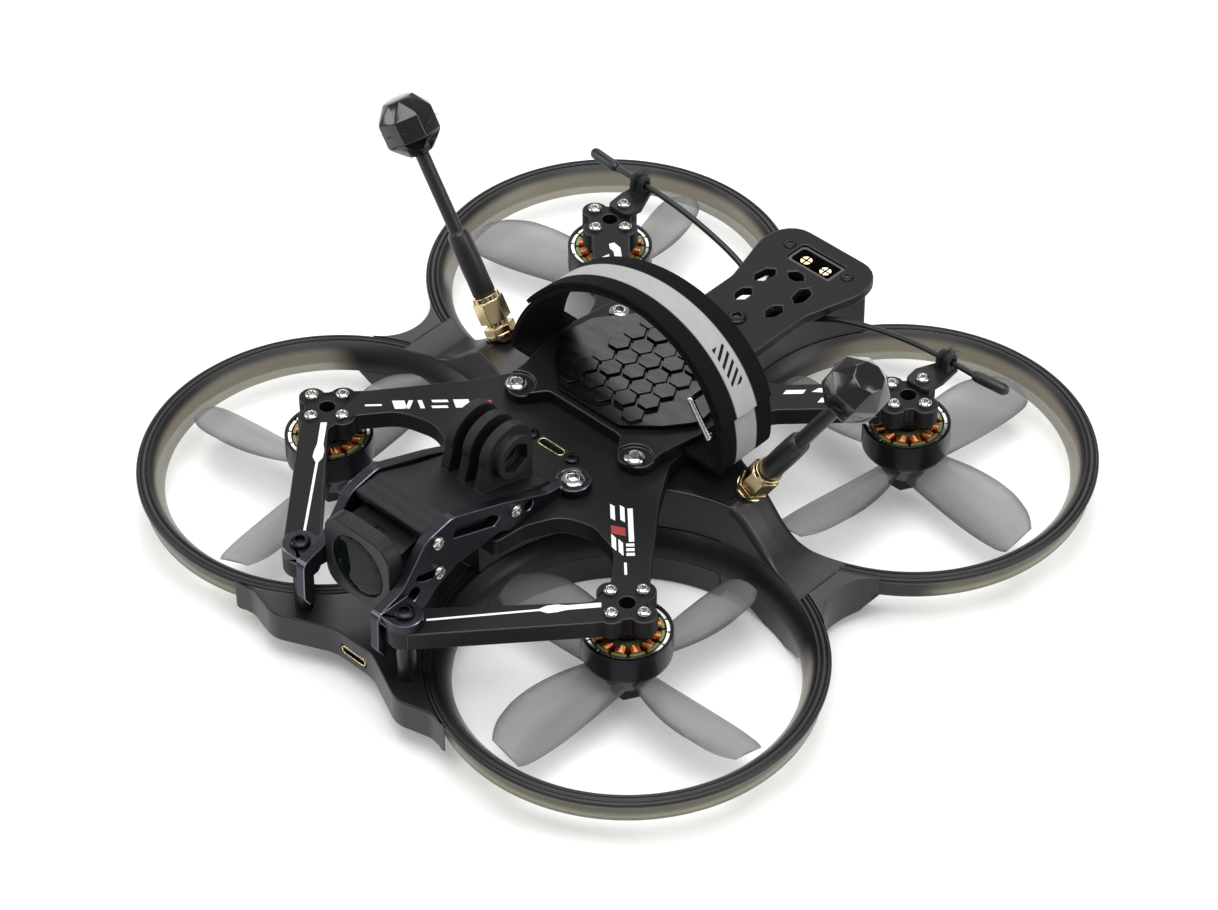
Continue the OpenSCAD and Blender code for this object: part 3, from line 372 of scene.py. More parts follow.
def cad_copy(node, whole_faces=True):
    """A merged copy of a CAD node's mesh in millimetres."""
    work = bmesh.new()
    work.from_mesh(NODES[node].data)
    bmesh.ops.scale(work, vec=(1000, 1000, 1000), verts=work.verts)
    bmesh.ops.remove_doubles(work, verts=work.verts, dist=0.002)
    if whole_faces:
        bmesh.ops.dissolve_limit(work, angle_limit=math.radians(0.6), use_dissolve_boundaries=False,
                                 verts=work.verts, edges=work.edges, delimit=set())
    return work


def sharp_edges(work, angle=32.0):
    limit = math.radians(angle)
    return [e for e in work.edges if len(e.link_faces) == 2 and e.calc_face_angle(0) > limit]


def fill_holes(work):
    """Closes the open ends of a skin."""
    bmesh.ops.holes_fill(work, edges=[e for e in work.edges if len(e.link_faces) == 1], sides=0)


def ease(work, width, edges=None, segments=2, material=-1):
    edges = sharp_edges(work) if edges is None else edges
    bmesh.ops.bevel(work, geom=edges, offset=width, offset_type="OFFSET", segments=segments,
                    profile=0.5, affect="EDGES", clamp_overlap=False, material=material)


def eased(node, finishes, width, segments=2, edge_slot=-1, smooth=35.0, whole_faces=True):
    """A CAD node with its sharp edges rounded, which takes the node's place."""
    work = cad_copy(node, whole_faces)
    if width:
        ease(work, width, segments=segments, material=edge_slot)
    even_shading(finish_piece(work, node + "_finished", finishes, NODES[node]["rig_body"],
                              [node], smooth))


def outline(work, points, z=0.0):
    """One flat face from the corners of an outline."""
    return work.faces.new([work.verts.new((x, y, z)) for x, y in points])


def raised(work, face, height, material=0):
    """Extrudes a flat face upwards into a closed block."""
    made = bmesh.ops.extrude_face_region(work, geom=[face], use_keep_orig=True)
    verts = [g for g in made["geom"] if isinstance(g, bmesh.types.BMVert)]
    bmesh.ops.translate(work, verts=verts, vec=(0, 0, height))
    faces = {f for v in verts for f in v.link_faces} | {face}
    for f in faces:
        f.material_index = material


def spun(work, profile, centre=(0, 0), steps=96, closed=True):
    """Spins a profile of (radius, height) about an upright axis."""
    verts = [work.verts.new((centre[0] + r, centre[1], z)) for r, z in profile]
    pairs = list(zip(verts, verts[1:])) + ([(verts[-1], verts[0])] if closed else [])
    edges = [work.edges.new(pair) for pair in pairs]
    bmesh.ops.spin(work, geom=verts + edges, cent=(*centre, 0), axis=(0, 0, 1),
                   angle=2 * math.pi, steps=steps, use_merge=True, use_duplicate=False)


def solid(work):
    bmesh.ops.remove_doubles(work, verts=work.verts, dist=0.0005)
    bmesh.ops.recalc_face_normals(work, faces=work.faces)
    return work


def surface(work, rows, columns, place):
    """A grid whose point at fractions (u, v) goes to place(u, v), with the fractions as its UVs."""
    made = bmesh.ops.create_grid(work, x_segments=rows, y_segments=columns, size=0.5, calc_uvs=False)
    verts = made["verts"]
    layer = work.loops.layers.uv.get("UVMap") or work.loops.layers.uv.new("UVMap")
    for face in {f for v in verts for f in v.link_faces}:
        for loop in face.loops:
            loop[layer].uv = (loop.vert.co.x + 0.5, loop.vert.co.y + 0.5)
    for vert in verts:
        vert.co = place(vert.co.x + 0.5, vert.co.y + 0.5)
    return verts


def tubes(paths, radius, sides=3, cyclic=False, smooth_path=False):
    """Round tubes along paths, as modelling work in millimetres."""
    curve = bpy.data.curves.new("path", "CURVE")
    curve.dimensions, curve.bevel_depth, curve.bevel_resolution = "3D", radius, sides
    curve.use_fill_caps, curve.resolution_u = True, 6
    for path in paths:
        spline = curve.splines.new("NURBS" if smooth_path else "POLY")
        spline.points.add(len(path) - 1)
        for point, spot in zip(spline.points, path):
            point.co = (*spot, 1)
        spline.use_cyclic_u = cyclic
        if smooth_path:
            spline.order_u, spline.use_endpoint_u = 4, True
    holder = add_object("path", curve)
    mesh = bpy.data.meshes.new_from_object(holder.evaluated_get(bpy.context.evaluated_depsgraph_get()))
    work = bmesh.new()
    work.from_mesh(mesh)
    bpy.data.objects.remove(holder)
    bpy.data.curves.remove(curve)
    bpy.data.meshes.remove(mesh)
    return solid(work)


def at_motor(corner, x=0.0, y=0.0):
    sx, sy = CORNERS[corner]
    return (sx * MOTOR + x, sy * MOTOR + y)


def move(work, verts, corner):
    bmesh.ops.translate(work, verts=verts, vec=(*at_motor(corner), 0))


# ---- Ducts -------------------------------------------------------------

DUCT_LOW, DUCT_TOP, THROAT, MOUTH = 9.0, 16.5, 46.4, 50.4


def flare(t, out=0.0):
    return (THROAT + (MOUTH - THROAT) * t ** 2.2 + out, DUCT_LOW + (DUCT_TOP - DUCT_LOW) * t)


DUCT_PROFILE = (
    [(THROAT + 0.25, DUCT_LOW)] + [flare(0.04 + 0.96 * k / 12) for k in range(13)]
    + [(50.75, 16.5), (51.0, 16.42), (51.12, 16.12), (51.3, 16.04), (51.48, 16.12), (51.6, 16.42)]
    + [(51.8, 16.5)]
    + [(52.55, 16.5), (52.68, 16.42), (52.76, 16.22), (52.88, 16.16), (53.0, 16.22), (53.08, 16.42),
       (53.2, 16.48)]
    + [(53.6, 16.4), (53.88, 16.15), (54.0, 15.8), (53.96, 15.35), (53.75, 15.05), (53.3, 14.85),
       (52.98, 14.5)]
    + [(52.86, 13.8), (52.72, 12.0), (52.55, 10.0), (52.44, 9.25), (52.25, 9.0), (51.5, 9.0), (51.34, 9.2)]
    + [(51.45, 12.0), (51.6, 14.5)]
    + [flare(0.72 - 0.66 * k / 6, 1.2) for k in range(7)] + [(47.4, 9.0)]
)
for corner in CORNERS:
    ring = bmesh.new()
    spun(ring, DUCT_PROFILE, at_motor(corner), 144)
    finish_piece(solid(ring),
                 "duct_ring_" + corner, DUCT_SMOKE, "airframe", ["duct_" + corner], 40)

# ---- Moulded body ------------------------------------------------------

eased("front_bumper", BODY_BLACK, 0.5, 3, whole_faces=False)
for node in ("body_tub", "body_cover"):
    eased(node, BODY_BLACK, 0.6, 3)


def curve_through(points, x):
    """Height at x of a smooth line through the points."""
    for i in range(1, len(points) - 2):
        (xa, za), (x0, z0), (x1, z1), (xb, zb) = points[i - 1:i + 3]
        if x <= x1:
            t = max(0.0, (x - x0) / (x1 - x0))
            low, high = (z1 - za) / (x1 - xa) * (x1 - x0), (zb - z0) / (xb - x0) * (x1 - x0)
            return ((1 + 2 * t) * (1 - t) ** 2 * z0 + t * (1 - t) ** 2 * low
                    + t * t * (3 - 2 * t) * z1 - t * t * (1 - t) * high)
    return points[-2][1]


def duct_wall(x):
    """Half the gap that two neighbouring ducts leave at x."""
    return MOTOR - math.sqrt(MOUTH ** 2 - (x - MOTOR) ** 2)


def loft(work, loops):
    """A closed skin through loops of equal length."""
    rows = [[work.verts.new(point) for point in loop] for loop in loops]
    for near, far in zip(rows, rows[1:]):
        for i in range(len(near)):
            work.faces.new((near[i - 1], near[i], far[i], far[i - 1]))
    work.faces.new(rows[0])
    work.faces.new(rows[-1])


SADDLE = [(42, 30.5), (45.5, 30.5), (48, 30.1), (51.5, 27.6), (57, 22.3), (63.5, 17.9), (68, 16.9),
          (76, 16.44), (80, 16.4)]
SADDLE_START, SADDLE_RUN, SADDLE_STEPS, SADDLE_BASE = 45.5, 30.5, 60, 15.9
BRIDGE_SEAM = 16.49
SEAT, SEAT_RADIUS = (46.8, 2.3, 31.0), 5.2
LEAN = math.radians(32)
FILLET = 2.0


def saddle_loop(x):
    """Once round the saddle's section at x: over its rounded top, and back below."""
    half, top = duct_wall(x), curve_through(SADDLE, x)
    fillet = min(FILLET, max(0.05, 0.6 * (top - 15.95)))
    over = [(-half, SADDLE_BASE), (-half, (SADDLE_BASE + top - fillet) / 2)]
    over += [(-half + fillet * (1 - math.cos(a)), top - fillet * (1 - math.sin(a)))
             for a in (math.pi * k / 14 for k in range(8))]
    over += [((half - fillet) * k / 11, top + 0.10 * (1 - abs(k) / 11)) for k in range(-10, 1)]
    loop = over + [(-y, z) for y, z in over[-2::-1]]
    out = []
    for y, z in loop:
        seat_z = SEAT[2] + 0.1 - (x - SEAT[0]) * math.tan(LEAN)
        if math.hypot((x - SEAT[0]) / math.cos(LEAN), y - SEAT[1]) < SEAT_RADIUS and z > 20:
            z = min(z, seat_z)
        out.append((x, y, z))
    return out


bridges = cad_copy("side_bridges")
bmesh.ops.bisect_plane(bridges, geom=bridges.verts[:] + bridges.edges[:] + bridges.faces[:],
                       plane_co=(0, 0, BRIDGE_SEAM), plane_no=(0, 0, 1), clear_outer=True)
fill_holes(bridges)
ease(bridges, 0.4, [e for e in sharp_edges(bridges, 50) if all(v.co.z < 16 for v in e.verts)], 2)
saddle = bmesh.new()
loft(saddle, [saddle_loop(SADDLE_START + SADDLE_RUN * k / SADDLE_STEPS) for k in range(SADDLE_STEPS + 1)])
bmesh.ops.recalc_face_normals(saddle, faces=saddle.faces)
other = saddle.copy()
bmesh.ops.scale(other, vec=(-1, 1, 1), verts=other.verts)
bmesh.ops.reverse_faces(other, faces=other.faces)
for half_work in (saddle, other):
    half_mesh = bpy.data.meshes.new("saddle")
    half_work.to_mesh(half_mesh)
    half_work.free()
    bridges.from_mesh(half_mesh)
    bpy.data.meshes.remove(half_mesh)
even_shading(finish_piece(bridges, "side_bridges_finished", BODY_BLACK, "airframe",
                          ["side_bridges"], 40))

# ---- Plates ------------------------------------------------------------

eased("front_arm_plate", [ARM_BLACK, ARM_EDGE], 0.3, 2, 1)
eased("rear_arm_plate", [ARM_BLACK, ARM_EDGE], 0.3, 2, 1)
eased("battery_plate", [ARM_BLACK, PLATE_EDGE_HIGHLIGHT], 0.35, 2, 1)
eased("rear_plate", [ARM_BLACK, ARM_EDGE], 0.35, 2, 1)
eased("cage_plates", [CAGE_GREY, BRIGHT_EDGE], 0.22, 1, 1)
eased("front_posts", POST_BLACK, 0.15)
eased("camera_body", CAMERA_GREY, 0.2)
eased("camera_bezel", CAMERA_GREY, 0.45, 3)
eased("camera_cover", COVER_BLACK, 0.3)
eased("battery_pad", RUBBER, 0.12, 2, -1, 20)
eased("power_socket", SOCKET_BLACK, 0.15)
eased("power_pins", GOLD, 0.08)
eased("receiver_clamps", COVER_BLACK, 0.3)
eased("antenna_sockets", GOLD, 0.12)
for node in ("steel_screws", "motor_screws", "camera_screws", "strap_buckle"):
    eased(node, STEEL, 0.0)
eased("black_screws", BLACK_STEEL, 0.0)
for side in SIDES:
    eased("antenna_nut_" + side, GOLD, 0.16)

# ---- Motors ------------------------------------------------------------

eased("motor_bases", BELL_BLACK, 0.15)
eased("motor_bearings", STEEL, 0.1)
eased("motor_stators", STATOR, 0.0)
for corner in CORNERS:
    eased("bell_" + corner, BELL_BLACK, 0.12)
    eased("magnets_" + corner, MAGNET, 0.1)
    eased("nut_" + corner, BLACK_STEEL, 0.15)

TEETH, TURNS = 12, 6


def coil_turn(layer, turn):
    """One turn of wire round a tooth that points along +X, as a rounded loop."""
    radius = 6.35 + 2.45 * (turn + 0.5 * (layer % 2)) / (TURNS - 0.5)
    half_wide, half_high = 0.95 + 0.42 * layer, 3.25 + 0.42 * layer
    loop = []
    for k in range(16):
        angle = 2 * math.pi * (k + 0.5) / 16
        c, s = math.cos(angle), math.sin(angle)
        loop.append((radius + 0.12 * s, half_wide * math.copysign(abs(c) ** 0.55, c),
                     23 + half_high * math.copysign(abs(s) ** 0.55, s)))
    return loop


def turned(path, angle):
    c, s = math.cos(angle), math.sin(angle)
    return [(x * c - y * s, x * s + y * c, z) for x, y, z in path]


one_motor = [turned(coil_turn(layer, turn), 2 * math.pi * tooth / TEETH)
             for tooth in range(TEETH) for layer in range(2) for turn in range(TURNS)]
copper = tubes([[(x + at_motor(corner)[0], y + at_motor(corner)[1], z) for x, y, z in path]
                for corner in CORNERS for path in one_motor], 0.22, 1, True)
finish_piece(copper, "copper_coils", COPPER, "airframe", ["motor_windings"], 60)

# ---- Propellers --------------------------------------------------------

HUB_LOW, HUB_HIGH, ROOT, TIP = 9.4, 15.65, 5.0, 44.85
RISE_LIMIT = 3.05
FIRST_BLADE = {"front_left": -4, "front_right": 12, "rear_left": -3, "rear_right": 12}


def blade_point(s, round_the_edge, hand):
    """A point on a blade's skin: s runs from root to tip, the other once round its section."""
    angle = 2 * math.pi * round_the_edge
    across, over = math.cos(angle), math.sin(angle)
    chord = 8.5 + 9.5 * math.sin(math.pi * min(1, s * 0.62 + 0.12)) ** 1.3 - 2.2 * s ** 6
    if across > 0:
        nose = 1 - 0.28 * max(0.0, (s - 0.86) / 0.14) ** 2.2
    else:
        nose = 1 - 0.10 * max(0.0, (s - 0.93) / 0.07) ** 2
    pitch = math.radians(34 - 19 * s ** 0.8)
    sweep = 1.6 * math.sin(math.pi * s) - 1.2 * s * s
    reach = ROOT + (TIP - ROOT) * s
    along = 0.5 * chord * across * nose + sweep
    thick = (0.16 + 0.55 * (1 - s)) + 0.26 * (1 - across * across)
    rise = 0.07 * chord * (1 - across * across) + thick * over
    y = along * math.cos(pitch) - rise * math.sin(pitch)
    z = along * math.sin(pitch) + rise * math.cos(pitch)
    turn = -y / reach * hand
    return Vector((reach * math.cos(turn), reach * math.sin(turn),
                   (HUB_LOW + HUB_HIGH) / 2 + max(-RISE_LIMIT, min(RISE_LIMIT, z))))


HUB_PROFILE = [(2.5, 9.4), (5.9, 9.4), (6.3, 9.6), (6.4, 10.0), (6.4, 15.1), (6.25, 15.5), (5.9, 15.65),
               (5.2, 15.65), (4.9, 15.5), (4.75, 14.45), (3.0, 14.45), (2.5, 14.2)]
for corner, (sx, sy) in CORNERS.items():
    hand = -1 if sx * sy > 0 else 1
    work = bmesh.new()
    for blade in range(4):
        skin = surface(work, 30, 20, lambda u, v: blade_point(u, v, hand))
        bmesh.ops.rotate(work, verts=skin, cent=(0, 0, 0),
                         matrix=Matrix.Rotation(math.radians(FIRST_BLADE[corner] + 90 * blade), 3, "Z"))
    bmesh.ops.remove_doubles(work, verts=work.verts, dist=0.0005)
    fill_holes(work)
    spun(work, HUB_PROFILE, (0, 0), 64)
    solid(work)
    move(work, work.verts, corner)
    finish_piece(work, "blades_" + corner, BLADE, "rotor_" + corner,
                 ["propeller_" + corner], 50)

# ---- Strap -------------------------------------------------------------

STRAP_Y, STRAP_W, STRAP_T = -4.0, 20.0, 1.5
LOOP_X, LOOP_A, LOOP_LEAN, LOOP_Z, LOOP_RISE = 2.0, 38.8, 6.0, 37.1, 37.7
LOWER_BAR, FOLD_RADIUS = (38.5, 49.35), 1.55
WEB_BLACK = (0.0045, 0.0045, 0.005)


def loop_point(angle, out=0.0):
    """The strap's middle line over the battery, moved outwards; it runs from the left foot to the right."""
    c, s = math.cos(angle), math.sin(angle)
    run = Vector((-LOOP_A * s + LOOP_LEAN * c, 0, LOOP_RISE * c)).normalized()
    spot = Vector((LOOP_X + LOOP_A * c + LOOP_LEAN * s, 0, LOOP_Z + LOOP_RISE * s))
    return spot + out * Vector((run.z, 0, -run.x))


def arch_point(t):
    """t from 0 to 0.8 over the crown, and back through the channel."""
    if t <= 0.8:
        return loop_point(math.pi * t / 0.8)
    low, high = LOOP_X - LOOP_A, LOOP_X + LOOP_A
    return Vector((low + (high - low) * (t - 0.8) / 0.2, 0, LOOP_Z))


def band_section(v, width, thickness):
    """Once round a flat band's section: across its width and through its thickness."""
    angle = 2 * math.pi * v
    c, s = math.cos(angle), math.sin(angle)
    square = max(abs(c), abs(s))
    across = 0.5 * width * math.copysign(min(1, abs(c) / square), c)
    through = 0.5 * thickness * math.copysign(min(1, abs(s) / square) ** 0.35, s) if abs(s) > 1e-6 else 0.0
    return across, through


def band(name, path_at, rows, y_mid, width, thickness, finish, closed, replaces=(), lean=lambda t: 0.0):
    work = bmesh.new()

    def place(u, v):
        here = path_at(u)
        ahead = path_at(min(1, u + 0.002) if not closed else (u + 0.002) % 1)
        behind = path_at(max(0, u - 0.002) if not closed else (u - 0.002) % 1)
        run = (ahead - behind).normalized()
        out = Vector((run.z, 0, -run.x))
        across, through = band_section(v, width, thickness)
        return here + out * through + Vector((0, y_mid + across, -across * lean(u)))

    surface(work, rows, 44, place)
    bmesh.ops.remove_doubles(work, verts=work.verts, dist=0.0005)
    if not closed:
        fill_holes(work)
    bmesh.ops.recalc_face_normals(work, faces=work.faces)
    finish_piece(work, name, finish, "airframe", replaces, 60)


STRAP = webbing("strap", WEB_BLACK, (0.34, 0.34, 0.345), 198.0, 80.0, (0.175, 0.25))
band("strap_loop", arch_point, 200, STRAP_Y + STRAP_W / 2, STRAP_W, STRAP_T, STRAP, True, ["battery_strap"],
     lambda t: 0.18 * math.sin(math.pi * t / 0.8) ** 2 if t < 0.8 else 0.0)
OVERLAP = webbing("strap_overlap", WEB_BLACK, (0.36, 0.36, 0.365), 110.0, 80.0, (0.10, 0.24))
band("strap_overlap", lambda t: loop_point(math.radians(24 + 128 * t), 1.5), 140, STRAP_Y + STRAP_W / 2,
     STRAP_W - 0.3, 1.2, OVERLAP, False, (), lambda t: 0.18 * math.sin(math.radians(24 + 128 * t)) ** 2)


def sleeve_point(t):
    """The fold sewn round the buckle's lower bar."""
    angle = 2 * math.pi * t
    return Vector((LOWER_BAR[0] + FOLD_RADIUS * math.cos(angle), 0,
                   LOWER_BAR[1] + FOLD_RADIUS * math.sin(angle)))


band("strap_fold", sleeve_point, 24, STRAP_Y + STRAP_W / 2, STRAP_W - 1, 1.1,
     webbing("fold", WEB_BLACK, WEB_BLACK, 10.0, 80.0, (0.1, 0.11)), True)

# ---- Lens --------------------------------------------------------------

LENS_Z, LENS_Y = 41.5, -99.0


def facing_front(work, verts):
    """Turns work that was spun about Z to face -Y at the lens."""
    bmesh.ops.rotate(work, verts=verts, cent=(0, 0, 0), matrix=Matrix.Rotation(math.radians(90), 3, "X"))
    bmesh.ops.translate(work, verts=verts, vec=(0, LENS_Y, LENS_Z))


GLASS = Finish("front_glass", (0.0015, 0.004, 0.0035), 0.04, Specular_IOR_Level=0.10)
GLASS.set(Base_Color=GLASS.mix(GLASS.noise(90, 1), (0.0010, 0.0040, 0.0034), (0.0022, 0.0062, 0.0048)),
          Alpha=0.72)
LENS_RING = moulded("lens_ring", (0.002, 0.002, 0.0025), 0.35, 1500, Specular_IOR_Level=0.2)
INNER_GLASS = Finish("inner_glass", (0.002, 0.012, 0.006), 0.05, Coat_Weight=1.0,
                     Coat_Tint=(0.75, 1.0, 0.35))
INNER_GLASS.set(Base_Color=INNER_GLASS.mix(INNER_GLASS.noise(260, 2),
                                           (0.002, 0.010, 0.006), (0.010, 0.030, 0.008)))

pane = bmesh.new()
spun(pane, [(0, 0.20), (3, 0.18), (6, 0.12), (8.5, 0.02), (9.0, -0.12), (9.2, -0.4), (9.2, -0.9),
            (0, -0.9)], closed=False)
facing_front(solid(pane), pane.verts)
finish_piece(pane, "lens_pane", GLASS, "camera", ["camera_glass"], 40)
barrel = bmesh.new()
spun(barrel, [(7.3, -1.1), (7.3, -1.4), (6.5, -1.9), (6.4, -2.3), (5.8, -2.5), (5.7, -3.1), (5.0, -3.3),
              (4.9, -4.2), (4.4, -4.4), (4.3, -9.4), (7.3, -9.4)], steps=72)
facing_front(solid(barrel), barrel.verts)
finish_piece(barrel, "lens_barrel", LENS_RING, "camera", (), 40)
dome = bmesh.new()
spun(dome, [(0, -2.9), (1.5, -3.0), (3, -3.35), (4.2, -4.0), (4.3, -4.6), (0, -4.6)], steps=64, closed=False)
facing_front(solid(dome), dome.verts)
finish_piece(dome, "lens_dome", INNER_GLASS, "camera", (), 40)

# ---- Antennas ----------------------------------------------------------

STEM, HEAD = 66.0, 8.6


def on_socket(work, side):
    bmesh.ops.rotate(work, verts=work.verts, cent=(0, 0, 0),
                     matrix=Matrix.Rotation(LEAN * side, 3, "Y"))
    bmesh.ops.translate(work, verts=work.verts, vec=(side * SEAT[0], SEAT[1], SEAT[2]))


def gem(work):
    """The faceted head: rings of eight corners, each turned half a step from the last."""
    rings = []
    for radius, height, step in ((0.52, 0.95, 0.0), (0.93, 0.50, 0.5), (1.0, 0.40, 0.5), (1.0, -0.36, 0.5),
                                 (0.95, -0.46, 0.5), (0.5, -0.95, 0.0)):
        made = bmesh.ops.create_circle(work, cap_ends=False, radius=radius * HEAD * 0.995,
                                       segments=8)["verts"]
        bmesh.ops.rotate(work, verts=made, cent=(0, 0, 0),
                         matrix=Matrix.Rotation(math.radians(45 * step + 10), 3, "Z"))
        bmesh.ops.translate(work, verts=made, vec=(0, 0, STEM + height * HEAD))
        rings.append(made)
    ring_edges = [list({e for v in ring for e in v.link_edges}) for ring in rings]
    for upper, lower in zip(ring_edges, ring_edges[1:]):
        bmesh.ops.bridge_loops(work, edges=upper + lower)
    fill_holes(work)
    bmesh.ops.triangulate(work, faces=[f for f in work.faces if 0.5 < abs(f.normal.z) < 0.95])
    bmesh.ops.recalc_face_normals(work, faces=work.faces)
    ease(work, 0.22, [e for e in work.edges if e.calc_face_angle(0) > math.radians(8)], 2)


for side_name, side in SIDES.items():
    head = bmesh.new()
    gem(head)
    spun(head, [(8.62, STEM - 0.1), (8.5, STEM), (8.62, STEM + 0.1)], steps=8)
    on_socket(solid(head), side)
    finish_piece(head, "antenna_head_" + side_name, ANTENNA_BLACK, "antenna_" + side_name,
                 ["antenna_" + side_name], 20)
    stem = bmesh.new()
    rib = [(2.0 + (0.06 if k % 2 else 0.0), 33.2 + 0.45 * k) for k in range(54)]
    spun(stem, [(0, 13), (2.9, 13.1), (3.15, 13.3), (3.3, 13.9), (3.22, 18), (3.3, 22), (3.25, 28),
                (3.1, 31.6),
                (2.75, 32.6), (2.5, 32.9), (2.15, 33.0)] + rib + [(2.6, 57.4), (2.9, 57.9), (2.9, 58.6),
                                                                  (0, 58.8)],
         steps=40, closed=False)
    on_socket(solid(stem), side)
    finish_piece(stem, "antenna_sleeve_" + side_name, SLEEVE_BLACK, "antenna_" + side_name,
                 (), 40)
    ferrule = bmesh.new()
    spun(ferrule, [(0, 8.7), (2.3, 8.7), (2.3, 13.3), (0, 13.3)], steps=32, closed=False)
    on_socket(solid(ferrule), side)
    finish_piece(ferrule, "antenna_ferrule_" + side_name, GOLD, "antenna_" + side_name, (), 40)

# ---- Receiver antennas -------------------------------------------------

LEAD = [(5, 68.3, 29), (8.5, 68.3, 29), (13, 69.3, 30.3), (17.6, 70.8, 32), (26, 71.6, 34.6), (44, 72, 38.9),
        (58, 71, 40.6), (69, 71.4, 40.3)]
CAP_START, CAP_END = (68, 71.36, 40.3), (78.5, 72.6, 40)
for side_name, side in SIDES.items():
    lead = tubes([[(side * x, y, z) for x, y, z in LEAD]], 0.9, 4, False, True)
    finish_piece(lead, "receiver_lead_" + side_name, LEAD_BLACK, "airframe",
                 ["receiver_antennas"], 50)
    cap = bmesh.new()
    spun(cap, [(0, -0.6), (1.2, -0.5), (1.5, 0.0), (1.7, 0.9), (1.7, 9.0), (1.5, 10.0), (0.9, 10.6),
               (0, 10.75)],
         steps=32, closed=False)
    solid(cap)
    start, end = (Vector((side * x, y, z)) for x, y, z in (CAP_START, CAP_END))
    run = (end - start).normalized()
    bmesh.ops.rotate(cap, verts=cap.verts, cent=(0, 0, 0), matrix=run.to_track_quat("Z", "Y").to_matrix())
    bmesh.ops.translate(cap, verts=cap.verts, vec=start)
    finish_piece(cap, "receiver_cap_" + side_name, LEAD_BLACK, "airframe", (), 40)

# ---- Printed markings --------------------------------------------------

INK_T = 0.05


def ink(work, start, end, shapes, side):
    """Flat shapes drawn along a line from start to end, in (along, across) corners."""
    start, end = Vector(start), Vector(end)
    run = (end - start).normalized()
    left = Vector((-run.y, run.x))
    for corners, material in shapes:
        spots = [start + run * a + left * b for a, b in corners]
        spots = [(side * p.x, p.y) for p in spots]
        raised(work, outline(work, spots, ARM_TOP), INK_T, material)


def bar(a0, a1, b0, b1, slant=0.0, material=0):
    return ([(a0, b0), (a1, b0), (a1 + slant, b1), (a0 + slant, b1)], material)


LEAF = ([(5.6, -0.35), (35, -0.35), (37.2, -1.45), (39.6, -1.35), (42.4, -0.85), (51.2, -0.95), (51.4, 0.75),
         (42.4, 0.85), (39.8, 1.45), (37.0, 1.3), (35, 0.35), (5.6, 0.35)], 0)
BRACKET, FRONT_MOTOR, REAR_MOTOR = (19.6, -101.4), (MOTOR, -MOTOR), (MOTOR, MOTOR)
marks = bmesh.new()
for side in SIDES.values():
    ink(marks, BRACKET, FRONT_MOTOR, [LEAF], side)
    ink(marks, FRONT_MOTOR, (0, 0), [bar(10.4, 15.0, -0.35, 0.35)], side)
    ink(marks, REAR_MOTOR, (0, 0), [
        ([(11.0, -0.9), (13.4, -2.6), (24.5, -3.4), (26.5, -1.9), (15.0, -0.6), (13.6, 0.4), (11.6, 0.6)], 0),
        bar(16.2, 18.6, 0.7, 2.6, 1.2), bar(19.6, 24.0, 0.7, 2.6, 1.2), bar(28, 33.5, -2.8, -1.2, 1.0)], side)
ink(marks, FRONT_MOTOR, (0, 0), [
    bar(17.6, 18.7, -2.6, -0.4, 0.0), bar(19.4, 20.5, -2.6, -0.4), bar(21.2, 22.3, -2.6, -0.4),
    bar(23.0, 36.0, -2.6, -1.2), bar(17.6, 22.6, 0.4, 1.6, 1.6), bar(19.6, 24.6, 2.2, 3.4, 1.6),
    bar(25.2, 28.4, -0.4, 3.4, 1.2, 1), bar(30.6, 36.4, -0.4, 0.8, 1.0), bar(31.4, 37.0, 2.2, 3.4, 1.0)], 1)
ink(marks, FRONT_MOTOR, (0, 0), [
    bar(17.8, 21.2, -1.7, 1.7, 0.8), bar(22.4, 23.6, -1.7, 1.7, -0.9), bar(24.8, 26.0, -1.7, 1.7, 0.9),
    bar(28.6, 33.0, -1.7, -0.7, 0.4), bar(28.6, 33.0, 0.7, 1.7, 0.4), bar(34.6, 38.8, -1.7, 1.7, 0.8),
    bar(42.4, 45.2, -1.2, 1.2, 0.0, 1)], -1)
bmesh.ops.recalc_face_normals(marks, faces=marks.faces)
finish_piece(marks, "arm_markings", [WHITE_INK, RED_INK], "airframe", (), 20)

# ---- Data ports --------------------------------------------------------


def rounded_loop(half_long, half_wide, count=10):
    """Corners of a slot with round ends, about the origin."""
    straight = half_long - half_wide
    ends = [(straight, -90), (-straight, 90)]
    return [(x + half_wide * math.cos(math.radians(from_angle + 180 * k / count)),
             half_wide * math.sin(math.radians(from_angle + 180 * k / count)))
            for x, from_angle in ends for k in range(count + 1)]


top_port = tubes([[(x, y - 26.3, 36.0) for x, y in rounded_loop(4.45, 1.3)]], 0.2, 2, True)
finish_piece(top_port, "data_port_rim_top", GOLD, "airframe", (), 50)
front_port = tubes([[(x, -102.35, 11 + z) for x, z in rounded_loop(4.4, 1.25)]], 0.2, 2, True)
finish_piece(front_port, "data_port_rim_front", GOLD, "airframe", (), 50)

# ---- What stays as it came ---------------------------------------------

for node, finish in (("led_strips", STRIP), ("speed_controller", BOARD), ("flight_controller", BOARD),
                     ("video_transmitter", STEEL), ("capacitor", LEAD_BLACK), ("stack_screws", BLACK_STEEL)):
    NODES[node].data.materials.clear()
    NODES[node].data.materials.append(finish.material)

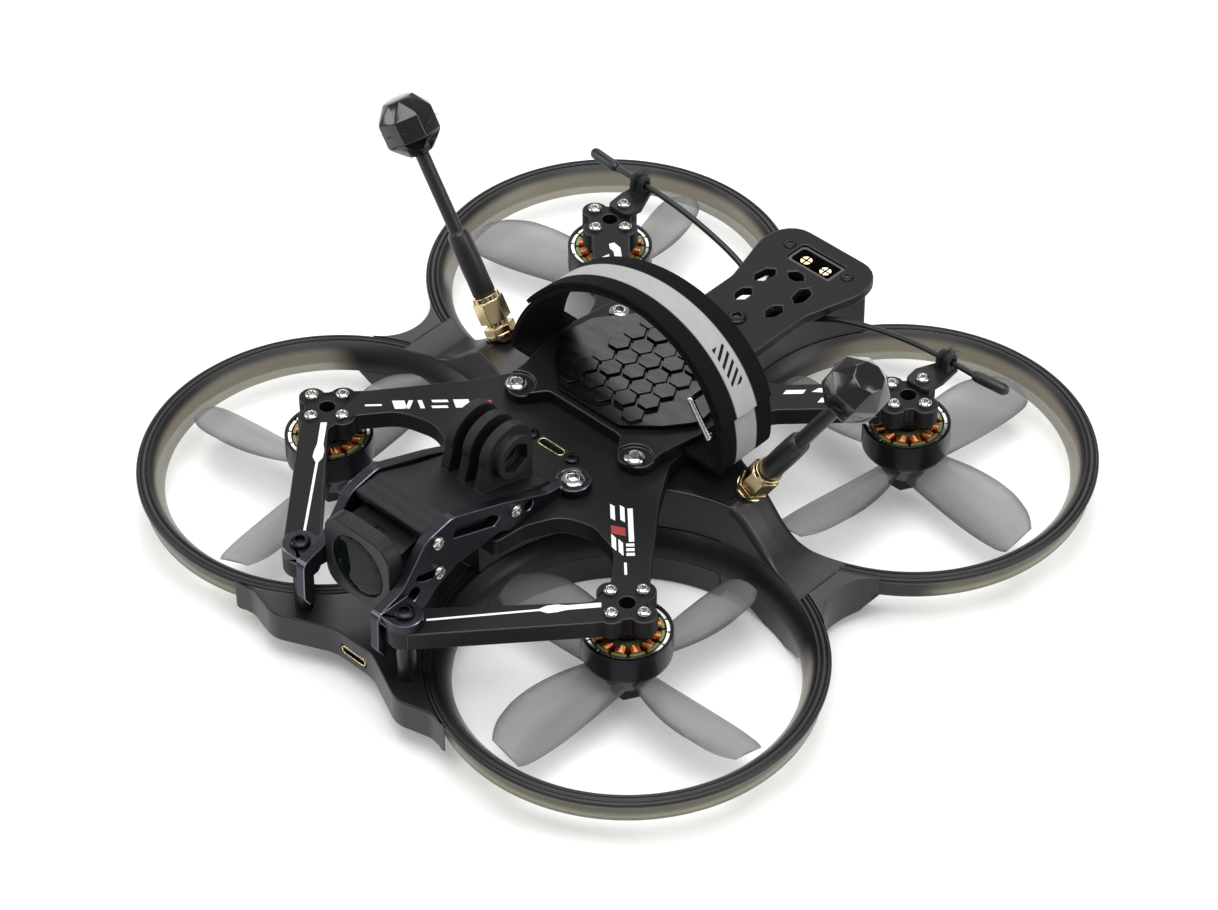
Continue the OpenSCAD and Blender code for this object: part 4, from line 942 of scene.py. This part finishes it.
# ---- Studio ------------------------------------------------------------

floor_finish = Finish("studio_floor", (0.86, 0.86, 0.865), 0.55, Emission_Color=(1, 1, 1),
                      Emission_Strength=0.14)
floor_finish.set(Base_Color=floor_finish.mix(floor_finish.noise(3), (0.85, 0.85, 0.855), (0.88, 0.88, 0.885)))
ground = bmesh.new()
bmesh.ops.create_grid(ground, x_segments=8, y_segments=8, size=6.0)
floor_mesh = bpy.data.meshes.new("studio_floor")
ground.to_mesh(floor_mesh)
ground.free()
floor_mesh.materials.append(floor_finish.material)
floor = add_object("studio_floor", floor_mesh)
floor.location = (0, 0, -0.0002)


LAMPS_AIM = (0, 0, 0.02)


def lamp(name, place, size, power):
    light = bpy.data.lights.new(name, "AREA")
    light.shape, light.size, light.size_y, light.energy = "RECTANGLE", *size, power
    holder = add_object(name, light)
    holder.location = place
    holder.rotation_euler = (Vector(LAMPS_AIM) - Vector(place)).to_track_quat("-Z", "Y").to_euler()


lamp("overhead_softbox", (0.15, -0.15, 1.3), (1.2, 1.2), 19)
lamp("left_softbox", (-1.0, -0.7, 0.6), (0.5, 0.8), 5)
lamp("right_softbox", (1.1, 0.5, 0.7), (0.4, 0.9), 6)
lamp("back_softbox", (-0.75, 0.85, 0.95), (0.7, 0.5), 4)

world = bpy.data.worlds.new("studio")
world.use_nodes = True
background = world.node_tree.nodes["Background"]
background.inputs["Color"].default_value = (1, 1, 1, 1)
background.inputs["Strength"].default_value = 0.36
bpy.context.scene.world = world
bpy.context.scene.view_settings.view_transform = "Standard"

camera_data = bpy.data.cameras.new("camera")
camera_data.lens, camera_data.sensor_width = 119.65, 36
camera_data.clip_start, camera_data.clip_end = 0.05, 20
camera = add_object("camera", camera_data)
camera.location = (0.57617, -0.60997, 0.76928)
camera.rotation_euler = (Matrix.Rotation(math.radians(43.542), 3, "Z")
                         @ Matrix.Rotation(math.radians(90 - 41.924), 3, "X")
                         @ Matrix.Rotation(math.radians(-0.197), 3, "Z")).to_euler()
bpy.context.scene.camera = camera
